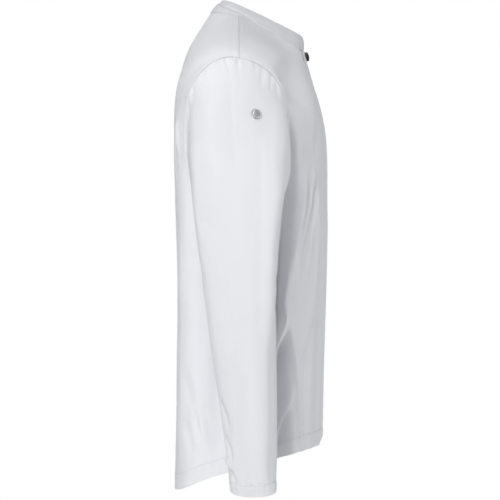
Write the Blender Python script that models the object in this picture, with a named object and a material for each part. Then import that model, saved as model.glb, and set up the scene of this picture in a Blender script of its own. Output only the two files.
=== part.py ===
"""Long-sleeved work shirt with a stand collar, filled out as when worn, with nobody in it.

Frame: metres, +Z up, the front faces -Y and the wearer's right is -X. The origin is the
mid-point between the neck ends of the two shoulder seams, where the wearer holds the shirt.

The body is one smooth surface, torso(), of two numbers: a level, which counts the rings of
RINGS from the neck seam down to the hem, and a turn round the body, 0 at the front and 180
degrees at the back. Every cut piece is a patch of it, or starts from its edges, and is given
its thickness inward, so that neighbours share their seam lines.
"""
import math

import bpy
import numpy as np

MM = 0.001

# Cloth and seams
WALL = 1.2 * MM
COLLAR_WALL = 2.0 * MM
SEAM_GAP = 0.3 * MM

# Front fastening, left over right
OVERLAP = 18.0 * MM
PLACKET_DROP = 1.0 * MM
TUCK_START = 24.0 * MM
TUCK_END = 48.0 * MM
STUD_LEVEL = 0.34
STUD_RADIUS = 6.5 * MM
STUD_CLEAR = 0.4 * MM

# Sleeve badge, on the right sleeve only
BADGE_TURN = math.radians(24.5)
BADGE_SHARE = 0.35
BADGE_RADIUS = 9.0 * MM
BADGE_CLEAR = 0.3 * MM

# Outlines of the metal pieces, from the cloth up: share of the radius, height in millimetres
STUD_OUTLINE = ((0.55, 0.0), (0.94, 0.3), (1.0, 1.0), (0.97, 1.9), (0.84, 2.7), (0.5, 3.2))
BADGE_OUTLINE = ((0.6, 0.0), (0.92, 0.2), (1.0, 0.8), (0.96, 1.5), (0.8, 1.7), (0.72, 1.3),
                 (0.45, 2.2), (0.15, 2.4))

# Rings of the body, in millimetres. full is how much squarer than an ellipse the ring is, and
# bow how its height runs between side and centre: 0 in a straight line, -1 as a parabola.
RING_COLUMNS = ("half_width", "front_y", "back_y", "front_z", "side_z", "back_z",
                "front_full", "back_full", "front_bow", "back_bow")
RINGS = {
    "neck":       (75, 97, 46, -49, 0, 9, 0.01, 0.00, 0.0, 0.0),
    "neck_base":  (98, 103, 58, -74, -9, -10, 0.01, 0.01, -0.3, -0.5),
    "trapeze":    (132, 111, 77, -102, -23, -42, 0.02, 0.02, -0.6, -1.0),
    "blade":      (168, 120, 91, -130, -38, -77, 0.02, 0.03, -0.8, -1.2),
    "shoulder":   (197, 127, 101, -160, -54, -115, 0.02, 0.05, -0.8, -1.3),
    "arm_top":    (215, 131, 104, -192, -74, -152, 0.02, 0.06, -0.8, -1.3),
    "arm_high":   (219, 132.5, 103, -226, -118, -188, 0.02, 0.07, -0.9, -1.2),
    "arm_mid":    (215, 132.5, 102, -256, -176, -226, 0.02, 0.07, -1.0, -1.0),
    "arm_low":    (210, 132.5, 101, -284, -230, -258, 0.03, 0.06, -1.0, -1.0),
    "underarm":   (206, 132.5, 100, -314, -275, -292, 0.04, 0.05, -1.0, -1.0),
    "rib":        (204, 132, 98, -360, -335, -345, 0.04, 0.05, -0.5, -0.5),
    "waist":      (199, 130, 97, -442, -430, -436, 0.04, 0.05, 0.0, 0.0),
    "hip":        (203, 127, 99, -540, -545, -560, 0.04, 0.05, 0.4, 0.0),
    "seat":       (207, 126, 101, -602, -620, -652, 0.04, 0.05, 0.8, -0.2),
    "hem":        (208, 125, 101, -648, -675, -718, 0.04, 0.05, 1.0, -0.35),
}
ARM_TOP = list(RINGS).index("arm_top")
ARM_BOTTOM = list(RINGS).index("underarm")
HEM = list(RINGS).index("hem")

# Armhole: how far it reaches forward and back of the side line, and how much squarer than an
# ellipse it is above and below its middle. Its rows spread by part of a level at the panel's
# centre, so that none lies along the arch.
ARMHOLE_FRONT = 70.5 * MM
ARMHOLE_BACK = 76.0 * MM
ARCH_FRONT = 0.09
ARCH_BACK = 0.11
ARCH_BELOW = 0.0
ARM_ROWS_SPREAD = 0.6

# Sections of the sleeve tube, in millimetres, on the wearer's left; the right is its mirror
TUBE_COLUMNS = ("x", "y", "z", "half_x", "half_y")
TUBE = {
    "upper_arm":   (258, 1.5, -300, 48.0, 63.5),
    "above_elbow": (263, 1.0, -354, 47.5, 57.5),
    "elbow":       (270, -1.5, -426, 46.5, 51.5),
    "forearm":     (278, -6.0, -497, 45.0, 46.7),
    "low_forearm": (286, -12.0, -567, 43.5, 41.7),
    "wrist":       (294, -16.5, -637, 41.5, 37.0),
    "cuff":        (300, -20.0, -697, 40.0, 32.7),
}
CUFF_DROP_OUTSIDE = 6.0 * MM
CAP_LEAVE_TOP = math.radians(12.0)
CAP_LEAVE_UNDERARM = math.radians(112.0)
CAP_TURN_LATE = 1.6
CAP_FALL = 0.35
CAP_PULL_TOP = 1.2
CAP_PULL_UNDERARM = 0.9

# Top edge of the collar, in millimetres, in the columns of RINGS. Its columns crowd towards
# the front ends, where the corners are round.
COLLAR_TOP = (58, 96, 28.5, -26.5, 17.5, 29.5, 0.01, 0.0, 0.0, 0.0)
COLLAR_PUFF = 1.6 * MM
COLLAR_MEET = 1.0 * MM
COLLAR_CORNER = 11.0 * MM
COLLAR_CROWD = 0.07

# Grid of the cut pieces: rows and columns of the cloth
ROWS_ABOVE = 6
ROWS_ARM = 12
ROWS_BELOW = 7
FRONT_COLUMNS = 10
BACK_COLUMNS = 20
CAP_ROWS = 5
TUBE_ROWS = 8
COLLAR_COLUMNS = 32
COLLAR_ROWS = 3
PLACKET_COLUMNS = 2
DISC_SIDES = 20

WHITE_CLOTH = ("white_cloth", (0.83, 0.85, 0.90, 1.0), 0.85, 0.0)
BLACK_METAL = ("black_snap", (0.012, 0.012, 0.014, 1.0), 0.35, 0.2)
STEEL = ("brushed_steel", (0.45, 0.46, 0.48, 1.0), 0.32, 1.0)


# ---------------------------------------------------------------- shapes worked out

def glide(table, place):
    """A smooth curve through the table's rows, read at fractional row numbers."""
    rows = np.asarray(table, dtype=float)
    place = np.clip(np.asarray(place, dtype=float), 0.0, len(rows) - 1.0)
    low = np.minimum(place.astype(int), len(rows) - 2)
    part = (place - low)[..., None]
    padded = np.vstack([2 * rows[0] - rows[1], rows, 2 * rows[-1] - rows[-2]])
    before, start, end, after = (padded[low + step] for step in range(4))
    lean_in = 0.5 * (end - before)
    lean_out = 0.5 * (after - start)
    bend = 3 * (end - start) - 2 * lean_in - lean_out
    twist = 2 * (start - end) + lean_in + lean_out
    return start + part * (lean_in + part * (bend + part * twist))


def ring_values(level):
    """The named columns of RINGS at any level, lengths in metres."""
    table = np.array(list(RINGS.values()), dtype=float)
    table[:, :6] *= MM
    return dict(zip(RING_COLUMNS, np.moveaxis(glide(table, level), -1, 0)))


def fuller(share, full):
    """An ellipse's sine or cosine made squarer by full."""
    return (share + full * (3 * share - 4 * share ** 3)) / (1 - full)


def turn_share(target, full):
    """The sine or cosine that fuller() turns into the target, by Newton's rule."""
    share = np.array(target, dtype=float)
    for _ in range(8):
        slope = (1 + full * (3 - 12 * share ** 2)) / (1 - full)
        share = share - (fuller(share, full) - target) / slope
    return np.clip(share, -1.0, 1.0)


def ring_point(values, turn):
    """Points of a ring with the given column values, at a turn in radians from the front."""
    front = np.cos(turn) >= 0
    full = np.where(front, values["front_full"], values["back_full"])
    bow = np.where(front, values["front_bow"], values["back_bow"])
    end_z = np.where(front, values["front_z"], values["back_z"])
    reach = np.where(front, -values["front_y"], values["back_y"])
    x = values["half_width"] * fuller(np.sin(turn), full)
    share = fuller(np.abs(np.cos(turn)), full)
    z = values["side_z"] + (end_z - values["side_z"]) * share * (1 + bow * (1 - share))
    return np.stack(np.broadcast_arrays(x, reach * share, z), axis=-1)


def torso(level, turn):
    """A point of the body's outer surface."""
    return ring_point(ring_values(level), np.asarray(turn, dtype=float))


def unit(vectors):
    """The vectors, each at length one."""
    return vectors / np.maximum(np.linalg.norm(vectors, axis=-1, keepdims=True), 1e-12)


def torso_normal(level, turn):
    """Outward direction of the body's surface."""
    step = 1e-3
    down = torso(np.clip(level + step, 0, HEM), turn) - torso(np.clip(level - step, 0, HEM), turn)
    round_body = torso(level, turn + step) - torso(level, turn - step)
    return unit(np.cross(down, round_body))


def armhole_edge(arc, front):
    """Level and turn of the armhole's front or back edge; arc runs 0 at top to pi below."""
    full = np.where(arc < math.pi / 2, ARCH_FRONT if front else ARCH_BACK, ARCH_BELOW)
    half = 0.5 * (ARM_BOTTOM - ARM_TOP)
    level = ARM_TOP + half * (1 - fuller(np.cos(arc), full))
    values = ring_values(level)
    side = "front" if front else "back"
    reach = (ARMHOLE_FRONT if front else ARMHOLE_BACK) * fuller(np.sin(arc), full)
    turn = np.arccos(turn_share(reach / values[side + "_y"], values[side + "_full"]))
    return level, turn if front else math.pi - turn


def edge_rows(front):
    """Levels of a panel's rows at its centre and at its side, and the turn of its side edge."""
    level, turn = armhole_edge(np.linspace(0, math.pi, ROWS_ARM + 1), front)

    def rows_down(arm_top, arm_bottom, arm):
        above = np.linspace(0, arm_top, ROWS_ABOVE + 1)[:-1]
        below = np.linspace(arm_bottom, HEM, ROWS_BELOW + 1)[1:]
        return np.concatenate([above, arm, below])

    high, low = ARM_TOP - ARM_ROWS_SPREAD, ARM_BOTTOM + ARM_ROWS_SPREAD
    middle = rows_down(high, low, np.linspace(high, low, ROWS_ARM + 1))
    edge = rows_down(ARM_TOP, ARM_BOTTOM, level)
    side = np.full(len(middle), math.pi / 2)
    side[ROWS_ABOVE:ROWS_ABOVE + ROWS_ARM + 1] = turn
    return middle, edge, side


def fan_levels(middle, edge, share):
    """Levels across a panel, even at its centre and on the armhole's arc at its side edge."""
    return middle[:, None] + (edge - middle)[:, None] * share * share


def armhole_loop():
    """The armhole's closed line on the left: arcs, levels and turns, forward from the top."""
    arcs = np.linspace(0, 2 * math.pi, 2 * ROWS_ARM, endpoint=False)
    down = np.where(arcs <= math.pi, arcs, 2 * math.pi - arcs)
    ahead = np.array(armhole_edge(down, True))
    behind = np.array(armhole_edge(down, False))
    levels, turns = np.where(arcs <= math.pi, ahead, behind)
    return arcs, levels, turns


def tube_point(arc, place):
    """A point of the sleeve tube; place counts the sections of TUBE."""
    table = np.array(list(TUBE.values()), dtype=float) * MM
    values = dict(zip(TUBE_COLUMNS, np.moveaxis(glide(table, place), -1, 0)))
    drop = CUFF_DROP_OUTSIDE * np.asarray(place) / (len(TUBE) - 1)
    x = values["x"] + values["half_x"] * np.cos(arc)
    y = values["y"] - values["half_y"] * np.sin(arc)
    return np.stack(np.broadcast_arrays(x, y, values["z"] - drop * np.cos(arc)), axis=-1)


def armhole_frames():
    """Seam points, mitre directions and directions into the sleeve, round the left armhole."""
    arcs, levels, turns = armhole_loop()
    points = torso(levels, turns)
    outward = torso_normal(levels, turns)
    along = unit(np.roll(points, -1, axis=0) - np.roll(points, 1, axis=0))
    into_hole = unit(np.cross(outward, along))
    middle = points.mean(axis=0)
    inward_side = np.sign(np.sum(into_hole * (middle - points), axis=1, keepdims=True))
    into_hole = into_hole * inward_side
    swing = (0.5 * (1 - np.cos(arcs))) ** CAP_TURN_LATE
    leave = (CAP_LEAVE_TOP + (CAP_LEAVE_UNDERARM - CAP_LEAVE_TOP) * swing)[:, None]
    fall = CAP_FALL * np.abs(np.sin(arcs))[:, None] * np.array([0.0, 0.0, -1.0])
    start = unit(np.cos(leave) * into_hole + np.sin(leave) * outward + fall)
    sleeve_out = unit(np.cross(start, along))
    sleeve_out *= np.sign(np.sum(sleeve_out * (np.cos(leave) * outward
                                               - np.sin(leave) * into_hole), axis=1,
                                 keepdims=True))
    bisector = unit(outward + sleeve_out)
    across = unit(np.cross(along, bisector))
    across *= np.sign(np.sum(across * start, axis=1, keepdims=True))
    spread = np.sum(bisector * outward, axis=1, keepdims=True)
    return arcs, points, start, bisector / np.maximum(spread, 0.5), across


def cap_point(arcs, points, start, share):
    """The sleeve head between the armhole and the first section of the tube."""
    end = tube_point(arcs, 0.0)
    end_lean = unit(tube_point(arcs, 0.3) - end)
    swing = 0.5 * (1 - np.cos(arcs))[:, None]
    pull = CAP_PULL_TOP + (CAP_PULL_UNDERARM - CAP_PULL_TOP) * swing
    reach = pull * np.linalg.norm(end - points, axis=1, keepdims=True)
    return ((2 * share ** 3 - 3 * share ** 2 + 1) * points
            + (share ** 3 - 2 * share ** 2 + share) * reach * start
            + (3 * share ** 2 - 2 * share ** 3) * end
            + (share ** 3 - share ** 2) * reach * end_lean)


# ---------------------------------------------------------------- solids

def material(name, colour, roughness, metallic):
    """A Principled material, made once."""
    found = bpy.data.materials.get(name)
    if found:
        return found
    made = bpy.data.materials.new(name)
    made.use_nodes = True
    shader = made.node_tree.nodes["Principled BSDF"]
    shader.inputs["Base Color"].default_value = colour
    shader.inputs["Roughness"].default_value = roughness
    shader.inputs["Metallic"].default_value = metallic
    made.diffuse_color = colour
    return made


def add_object(name, points, faces, finish):
    """A named object from points and faces, shaded smooth except at its edges."""
    mesh = bpy.data.meshes.new(name)
    mesh.from_pydata([tuple(point) for point in points], [], faces)
    mesh.update()
    mesh.shade_smooth()
    mesh.set_sharp_from_angle(angle=math.radians(50))
    mesh.materials.append(material(*finish))
    made = bpy.data.objects.new(name, mesh)
    bpy.context.scene.collection.objects.link(made)
    return made


def grid_normals(outer, wrap):
    """Directions across a grid of points, by the difference of their neighbours."""
    down = np.gradient(outer, axis=0)
    if wrap:
        along = 0.5 * (np.roll(outer, -1, axis=1) - np.roll(outer, 1, axis=1))
    else:
        along = np.gradient(outer, axis=1)
    return unit(np.cross(down, along))


def cloth_solid(name, outer, inner, finish, wrap=False):
    """A closed wall of cloth between two grids of points, open at its ends if it wraps."""
    rows, columns = outer.shape[:2]
    count = rows * columns
    number = np.arange(count).reshape(rows, columns)
    flat = outer.reshape(-1, 3)
    last = columns if wrap else columns - 1
    faces = []

    def cell(a, b, c, d):
        """One cell of both walls, cut along its shorter diagonal."""
        if np.linalg.norm(flat[a] - flat[c]) <= np.linalg.norm(flat[b] - flat[d]):
            halves = ((a, d, c), (a, c, b))
        else:
            halves = ((a, d, b), (d, c, b))
        for half in halves:
            faces.append(tuple(int(corner) for corner in half))
            faces.append(tuple(int(corner) + count for corner in reversed(half)))

    def rim(a, b):
        """The cut edge of the cloth between two neighbouring points."""
        a, b = int(a), int(b)
        faces.append((a, b, b + count))
        faces.append((a, b + count, a + count))

    for row in range(rows - 1):
        for column in range(last):
            after = (column + 1) % columns
            cell(number[row, column], number[row, after],
                 number[row + 1, after], number[row + 1, column])
    for column in range(last):
        after = (column + 1) % columns
        rim(number[0, column], number[0, after])
        rim(number[-1, after], number[-1, column])
    if not wrap:
        for row in range(rows - 1):
            rim(number[row + 1, 0], number[row, 0])
            rim(number[row, -1], number[row + 1, -1])
    points = np.concatenate([flat, inner.reshape(-1, 3)])
    return add_object(name, points, faces, finish)


def inset_edges(grid, sides):
    """Moves the named edges of a grid half a seam gap into the piece."""
    half = 0.5 * SEAM_GAP
    moved = grid.copy()
    picks = {"top": ((0, slice(None)), (1, slice(None))),
             "left": ((slice(None), 0), (slice(None), 1)),
             "right": ((slice(None), -1), (slice(None), -2))}
    for side in sides:
        edge, inside = picks[side]
        moved[edge] = moved[edge] + half * unit(grid[inside] - grid[edge])
    return moved


def mirrored(points):
    """The same points on the wearer's other side."""
    return points * np.array([-1.0, 1.0, 1.0])


def panel_grid(turns, levels, sink=None):
    """A body panel's outer grid and the directions out of it."""
    outer = torso(levels, turns)
    outward = torso_normal(levels, turns)
    if sink is not None:
        outer = outer - outward * sink(outer)[..., None]
    return outer, outward


def set_armhole_edge(outer, outward, column, side_sign, front):
    """Puts a panel's armhole rows on the seam's mitre."""
    _, points, _, mitre, across = armhole_frames()
    flip = np.array([side_sign, 1.0, 1.0])
    for step in range(1, ROWS_ARM):
        place = step if front else -step
        row = ROWS_ABOVE + step
        outer[row, column] = (points[place] - 0.5 * SEAM_GAP * across[place]) * flip
        outward[row, column] = mitre[place] * flip
    for row, place in ((ROWS_ABOVE, 0), (ROWS_ABOVE + ROWS_ARM, ROWS_ARM)):
        outer[row, column] += -0.5 * SEAM_GAP * across[place] * flip
        outward[row, column] = mitre[place] * flip


def right_sink(points):
    """How deep the right front lies under the left, by its distance from the centre."""
    share = np.clip((points[..., 0] + TUCK_END) / (TUCK_END - TUCK_START), 0.0, 1.0)
    return (WALL + SEAM_GAP) * share * share * (3 - 2 * share)


def make_front(side_sign):
    """One front panel, from past the centre to the side seam and armhole."""
    middle, edge, front_edge = edge_rows(front=True)
    values = ring_values(middle)
    past = np.arcsin(turn_share(OVERLAP / values["half_width"], values["front_full"]))
    share = np.linspace(0, 1, FRONT_COLUMNS - 1)[None, :]
    panel = past[:, None] + (front_edge - past)[:, None] * share
    turns = side_sign * np.column_stack([-past, np.zeros_like(past), panel])
    share = np.clip(turns * side_sign / front_edge[:, None], 0, 1)
    levels = fan_levels(middle, edge, share)
    outer, outward = panel_grid(turns, levels, None if side_sign > 0 else right_sink)
    outer = inset_edges(outer, ("top", "right"))
    set_armhole_edge(outer, outward, -1, side_sign, True)
    inner = outer - outward * WALL
    if side_sign < 0:
        outer, inner = outer[:, ::-1], inner[:, ::-1]
    name = "front_left" if side_sign > 0 else "front_right"
    return cloth_solid(name, outer, inner, WHITE_CLOTH)


def make_back():
    """The back in one piece, from side seam to side seam."""
    middle, edge, back_edge = edge_rows(front=False)
    share = np.linspace(1, -1, BACK_COLUMNS + 1)[None, :]
    turns = math.pi - (math.pi - back_edge)[:, None] * share
    outer, outward = panel_grid(turns, fan_levels(middle, edge, share))
    outer = inset_edges(outer, ("top", "left", "right"))
    set_armhole_edge(outer, outward, 0, 1, False)
    set_armhole_edge(outer, outward, -1, -1, False)
    return cloth_solid("back", outer, outer - outward * WALL, WHITE_CLOTH)


def make_sleeve(side_sign):
    """One sleeve, from its head at the armhole to the cuff."""
    arcs, points, start, mitre, across = armhole_frames()
    shares = np.linspace(0, 1, CAP_ROWS + 1)
    places = np.linspace(0, len(TUBE) - 1, TUBE_ROWS + 1)[1:]
    rows = [cap_point(arcs, points, start, share) for share in shares]
    rows += [tube_point(arcs, place) for place in places]
    outer = np.array(rows)
    outward = -grid_normals(outer, wrap=True)
    outward *= np.sign(np.sum(outward[-1] * (outer[-1] - outer[-1].mean(axis=0))))
    outer[0] += 0.5 * SEAM_GAP * across
    outward[0] = mitre
    inner = outer - outward * WALL
    if side_sign < 0:
        outer, inner = mirrored(outer)[:, ::-1], mirrored(inner)[:, ::-1]
    name = "sleeve_left" if side_sign > 0 else "sleeve_right"
    return cloth_solid(name, outer[:, ::-1], inner[:, ::-1], WHITE_CLOTH, wrap=True)


def collar_grid():
    """The stand collar's outer grid, from the left front end round the back to the right."""
    base_values = ring_values(0.0)
    top_values = dict(zip(RING_COLUMNS, COLLAR_TOP))
    for column in RING_COLUMNS[:6]:
        top_values[column] = top_values[column] * MM
    first = float(np.arcsin(COLLAR_MEET / base_values["half_width"]))
    even = np.linspace(0, 1, COLLAR_COLUMNS + 1)
    share = even - COLLAR_CROWD * np.sin(2 * math.pi * even)
    turns = first + (2 * math.pi - 2 * first) * share
    base = ring_point(base_values, turns)
    top = ring_point(top_values, turns)
    top[:, 0] = np.sign(base[:, 0]) * np.maximum(np.abs(top[:, 0]), COLLAR_MEET)
    from_end = np.minimum(np.abs(base[:, 0]) - COLLAR_MEET, COLLAR_CORNER)
    from_end = np.where(base[:, 1] < 0, from_end, COLLAR_CORNER)
    height = np.linalg.norm(top - base, axis=1)
    corner = COLLAR_CORNER - np.sqrt(np.maximum(COLLAR_CORNER ** 2
                                                - (COLLAR_CORNER - from_end) ** 2, 0.0))
    reach = 1 - corner / height
    rows = np.linspace(1, 0, COLLAR_ROWS + 1)[:, None, None]
    rise = rows * reach[None, :, None]
    grid = base + (top - base) * rise
    puff = unit(np.cross(np.gradient(base, axis=0), top - base))
    return grid + COLLAR_PUFF * np.sin(math.pi * rise) * puff


def make_collar():
    """The stand collar."""
    outer = collar_grid()
    outward = unit(np.cross(np.gradient(outer, axis=0), np.gradient(outer, axis=1)))
    lift = unit(outer[-2] - outer[-1])
    outer[-1] += SEAM_GAP * lift
    inner = outer - outward * COLLAR_WALL
    return cloth_solid("collar", outer, inner, WHITE_CLOTH)


def make_placket():
    """The folded band down the left front's edge, on top of the panel."""
    middle, edge, front_edge = edge_rows(front=True)
    values = ring_values(middle)
    past = np.arcsin(turn_share(OVERLAP / values["half_width"], values["front_full"]))
    turns = past[:, None] * np.linspace(-1, 1, PLACKET_COLUMNS + 1)[None, :]
    levels = fan_levels(middle, edge, np.clip(turns / front_edge[:, None], 0, 1))
    panel, outward = panel_grid(turns, levels)
    inner = panel + outward * SEAM_GAP
    inner[0] += PLACKET_DROP * unit(inner[1] - inner[0])
    return cloth_solid("placket", inner + outward * WALL, inner, WHITE_CLOTH)


def make_disc(name, centre, outward, radius, outline, finish):
    """A round cap turned from (radius share, height) pairs, standing along outward."""
    up = outward / np.linalg.norm(outward)
    side = np.cross(up, (0.0, 1.0, 0.0) if abs(up[1]) < 0.9 else (1.0, 0.0, 0.0))
    side = side / np.linalg.norm(side)
    other = np.cross(up, side)
    angles = np.linspace(0, 2 * math.pi, DISC_SIDES, endpoint=False)
    circle = np.cos(angles)[:, None] * side + np.sin(angles)[:, None] * other
    rings = [centre + radius * share * circle + height * MM * up for share, height in outline]
    ends = [centre + outline[end][1] * MM * up for end in (0, -1)]
    points = np.concatenate(rings + [ends])
    low_centre, high_centre = len(rings) * DISC_SIDES, len(rings) * DISC_SIDES + 1
    faces = []
    for step in range(DISC_SIDES):
        after = (step + 1) % DISC_SIDES
        faces.append((low_centre, after, step))
        top = (len(rings) - 1) * DISC_SIDES
        faces.append((high_centre, top + step, top + after))
        for ring in range(len(rings) - 1):
            a = ring * DISC_SIDES
            faces.append((a + step, a + after, a + DISC_SIDES + after, a + DISC_SIDES + step))
    return add_object(name, points, faces, finish)


def make_stud():
    """The cap of the press stud at the top of the placket."""
    outward = torso_normal(STUD_LEVEL, 0.0)
    centre = torso(STUD_LEVEL, 0.0) + outward * (SEAM_GAP + WALL + STUD_CLEAR)
    make_disc("stud_cap", centre, outward, STUD_RADIUS, STUD_OUTLINE, BLACK_METAL)


def make_badge():
    """The round metal rivet on the right sleeve, flat on the cloth of the sleeve head."""
    arcs, points, start, _, _ = armhole_frames()

    def spot(arc, share):
        """A point of the left sleeve head."""
        row = cap_point(arcs, points, start, share)
        return np.array([np.interp(arc, arcs, values) for values in row.T])

    near = 0.02
    centre = spot(BADGE_TURN, BADGE_SHARE)
    down = spot(BADGE_TURN, BADGE_SHARE + near) - spot(BADGE_TURN, BADGE_SHARE - near)
    forward = spot(BADGE_TURN + near, BADGE_SHARE) - spot(BADGE_TURN - near, BADGE_SHARE)
    outward = unit(np.cross(down, forward))
    outward *= math.copysign(1.0, outward[0])
    make_disc("badge", mirrored(centre + outward * BADGE_CLEAR), mirrored(outward),
              BADGE_RADIUS, BADGE_OUTLINE, STEEL)


def main():
    """Makes the whole shirt."""
    for leftover in list(bpy.data.objects):
        bpy.data.objects.remove(leftover)
    make_back()
    for side_sign in (1, -1):
        make_front(side_sign)
        make_sleeve(side_sign)
    make_placket()
    make_collar()
    make_stud()
    make_badge()


main()
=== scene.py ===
"""A long-sleeved white work shirt in its worn form, with nobody in it.

The trunk and the sleeves are smooth forms, given by rings and sections of a few named sizes.
Each cut piece of cloth is a grid of points on those forms. Its creases, seams and hem raise or
sink the points, and its wall gives it the thickness of cloth. Lengths in the tables are in
millimetres; meshes are in metres in the frame's axes: +Z up, the front faces -Y, and the
wearer's right is -X. The origin lies between the neck ends of the two shoulder seams.
"""

import logging
import math
from dataclasses import astuple, dataclass, field
from enum import Enum

import bpy
import numpy as np
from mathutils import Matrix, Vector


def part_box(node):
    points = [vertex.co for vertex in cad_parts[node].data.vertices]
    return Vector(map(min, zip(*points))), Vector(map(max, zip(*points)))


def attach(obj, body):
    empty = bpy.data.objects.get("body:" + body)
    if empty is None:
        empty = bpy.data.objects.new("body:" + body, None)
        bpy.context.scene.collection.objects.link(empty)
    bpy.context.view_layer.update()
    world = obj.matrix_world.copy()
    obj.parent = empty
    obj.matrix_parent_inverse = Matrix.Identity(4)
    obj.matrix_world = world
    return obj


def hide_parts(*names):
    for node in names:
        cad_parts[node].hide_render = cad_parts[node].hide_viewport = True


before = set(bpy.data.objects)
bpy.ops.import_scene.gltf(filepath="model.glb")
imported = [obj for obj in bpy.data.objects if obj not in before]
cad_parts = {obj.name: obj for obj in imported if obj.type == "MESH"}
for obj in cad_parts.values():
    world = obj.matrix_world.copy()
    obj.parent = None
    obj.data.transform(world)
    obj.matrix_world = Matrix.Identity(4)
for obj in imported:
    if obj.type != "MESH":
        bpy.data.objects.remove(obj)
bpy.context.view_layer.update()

Array = np.ndarray
Piece = bpy.types.Object
Socket = bpy.types.NodeSocket
Colour = tuple[float, ...]
Triple = tuple[float, float, float]
MM = 0.001
FULL_TURN = 2 * math.pi
QUARTER = 0.5 * math.pi
MIRROR = np.array([-1.0, 1.0, 1.0])  # takes a place to the same place on the other side
PLACES_AT_ONCE = 2000  # keeps the tables of distances small
LOG = logging.getLogger("shirt")


class Side(Enum):
    """The wearer's left, at +X, or right, at -X."""

    LEFT = 1
    RIGHT = -1

    @property
    def word(self) -> str:
        """The side's name as pieces use it."""
        return self.name.lower()


class Slot(Enum):
    """Material slots."""

    CLOTH = "cloth"
    SNAP = "snap"
    BADGE = "badge_metal"


# ---- arithmetic on whole arrays

def glide(table: Array, place: Array) -> Array:
    """Reads a table as a smooth curve: each stretch is the cubic through two rows that leaves
    and reaches them along the line between their neighbours.

    Args:
        table: one row for each knot.
        place: row numbers, which may lie between rows.

    Returns:
        The values, with the table's columns last.
    """
    place = np.clip(np.asarray(place, dtype=float), 0.0, len(table) - 1.0)
    low = np.minimum(place.astype(int), len(table) - 2)
    part = (place - low)[..., None]
    padded = np.vstack([2 * table[0] - table[1], table, 2 * table[-1] - table[-2]])
    before, start, end, after = (padded[low + step] for step in range(4))
    lean_in, lean_out = 0.5 * (end - before), 0.5 * (after - start)
    bend = 3 * (end - start) - 2 * lean_in - lean_out
    twist = 2 * (start - end) + lean_in + lean_out
    return start + part * (lean_in + part * (bend + part * twist))


def unit(vectors: Array) -> Array:
    """The vectors, each at length one."""
    return vectors / np.maximum(np.linalg.norm(vectors, axis=-1, keepdims=True), 1e-12)


def ease(value: Array) -> Array:
    """Rises smoothly from 0 to 1 as the value does: 3v^2 - 2v^3."""
    value = np.clip(value, 0.0, 1.0)
    return value * value * (3 - 2 * value)


def hill(offset: Array, width: Array | float) -> Array:
    """A round hill of height 1: e to the minus (offset over width) squared."""
    return np.exp(-np.square(offset / width))


def fuller(share: Array, full: Array | float) -> Array:
    """An ellipse's sine or cosine made squarer: (s + full (3s - 4s^3)) / (1 - full)."""
    return (share + full * (3 * share - 4 * share ** 3)) / (1 - full)


def fuller_share(target: Array, full: Array | float) -> Array:
    """The share that fuller() turns into a target, by eight steps of Newton's rule.

    Args:
        target: the fuller sine or cosine.
        full: how much squarer than an ellipse it is.

    Returns:
        The ellipse's own sine or cosine, from -1 to 1.
    """
    share = np.array(target, dtype=float)
    for _ in range(8):
        slope = (1 + full * (3 - 12 * share ** 2)) / (1 - full)
        share = share - (fuller(share, full) - target) / slope
    return np.clip(share, -1.0, 1.0)


def crowded(count: int, crowd: float) -> Array:
    """Shares from 0 to 1 that crowd towards both ends: t - crowd sin(2 pi t) / (2 pi)."""
    even = np.linspace(0.0, 1.0, count)
    return even - crowd * np.sin(FULL_TURN * even) / FULL_TURN


def joined(*stretches: tuple[float, float, int]) -> Array:
    """Runs of even steps, end to end, each from a start to an end in a number of steps."""
    runs = [np.linspace(start, end, steps + 1)[:-1] for start, end, steps in stretches]
    return np.concatenate(runs + [[stretches[-1][1]]])


def reach_to(points: Array, line: Array) -> Array:
    """How far places are from a line: the least distance to any of the line's points.

    Args:
        points: the places.
        line: the line's points.

    Returns:
        A distance in metres for each place.
    """
    flat = points.reshape(-1, 3)
    blocks = np.array_split(flat, max(1, len(flat) // PLACES_AT_ONCE))
    nearest = [np.sqrt(((block[:, None] - line[None]) ** 2).sum(-1).min(1)) for block in blocks]
    return np.concatenate(nearest).reshape(points.shape[:-1])


def run_down(points: Array) -> Array:
    """The length from the first row of points, down a line or a grid's columns, to each point."""
    steps = np.linalg.norm(np.diff(points, axis=0), axis=-1)
    return np.concatenate([np.zeros_like(steps[:1]), np.cumsum(steps, axis=0)])


def facing_of(points: Array, closed: bool) -> Array:
    """Directions out of a grid: the cross product of its way down and its way round.

    Args:
        points: the grid, with rows down it and columns round to the left.
        closed: whether the last column meets the first.

    Returns:
        Directions of length one.
    """
    down = np.gradient(points, axis=0)
    if closed:
        around = 0.5 * (np.roll(points, -1, axis=1) - np.roll(points, 1, axis=1))
    else:
        around = np.gradient(points, axis=1)
    return unit(np.cross(down, around))


# ---- the trunk's and sleeves' forms

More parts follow.
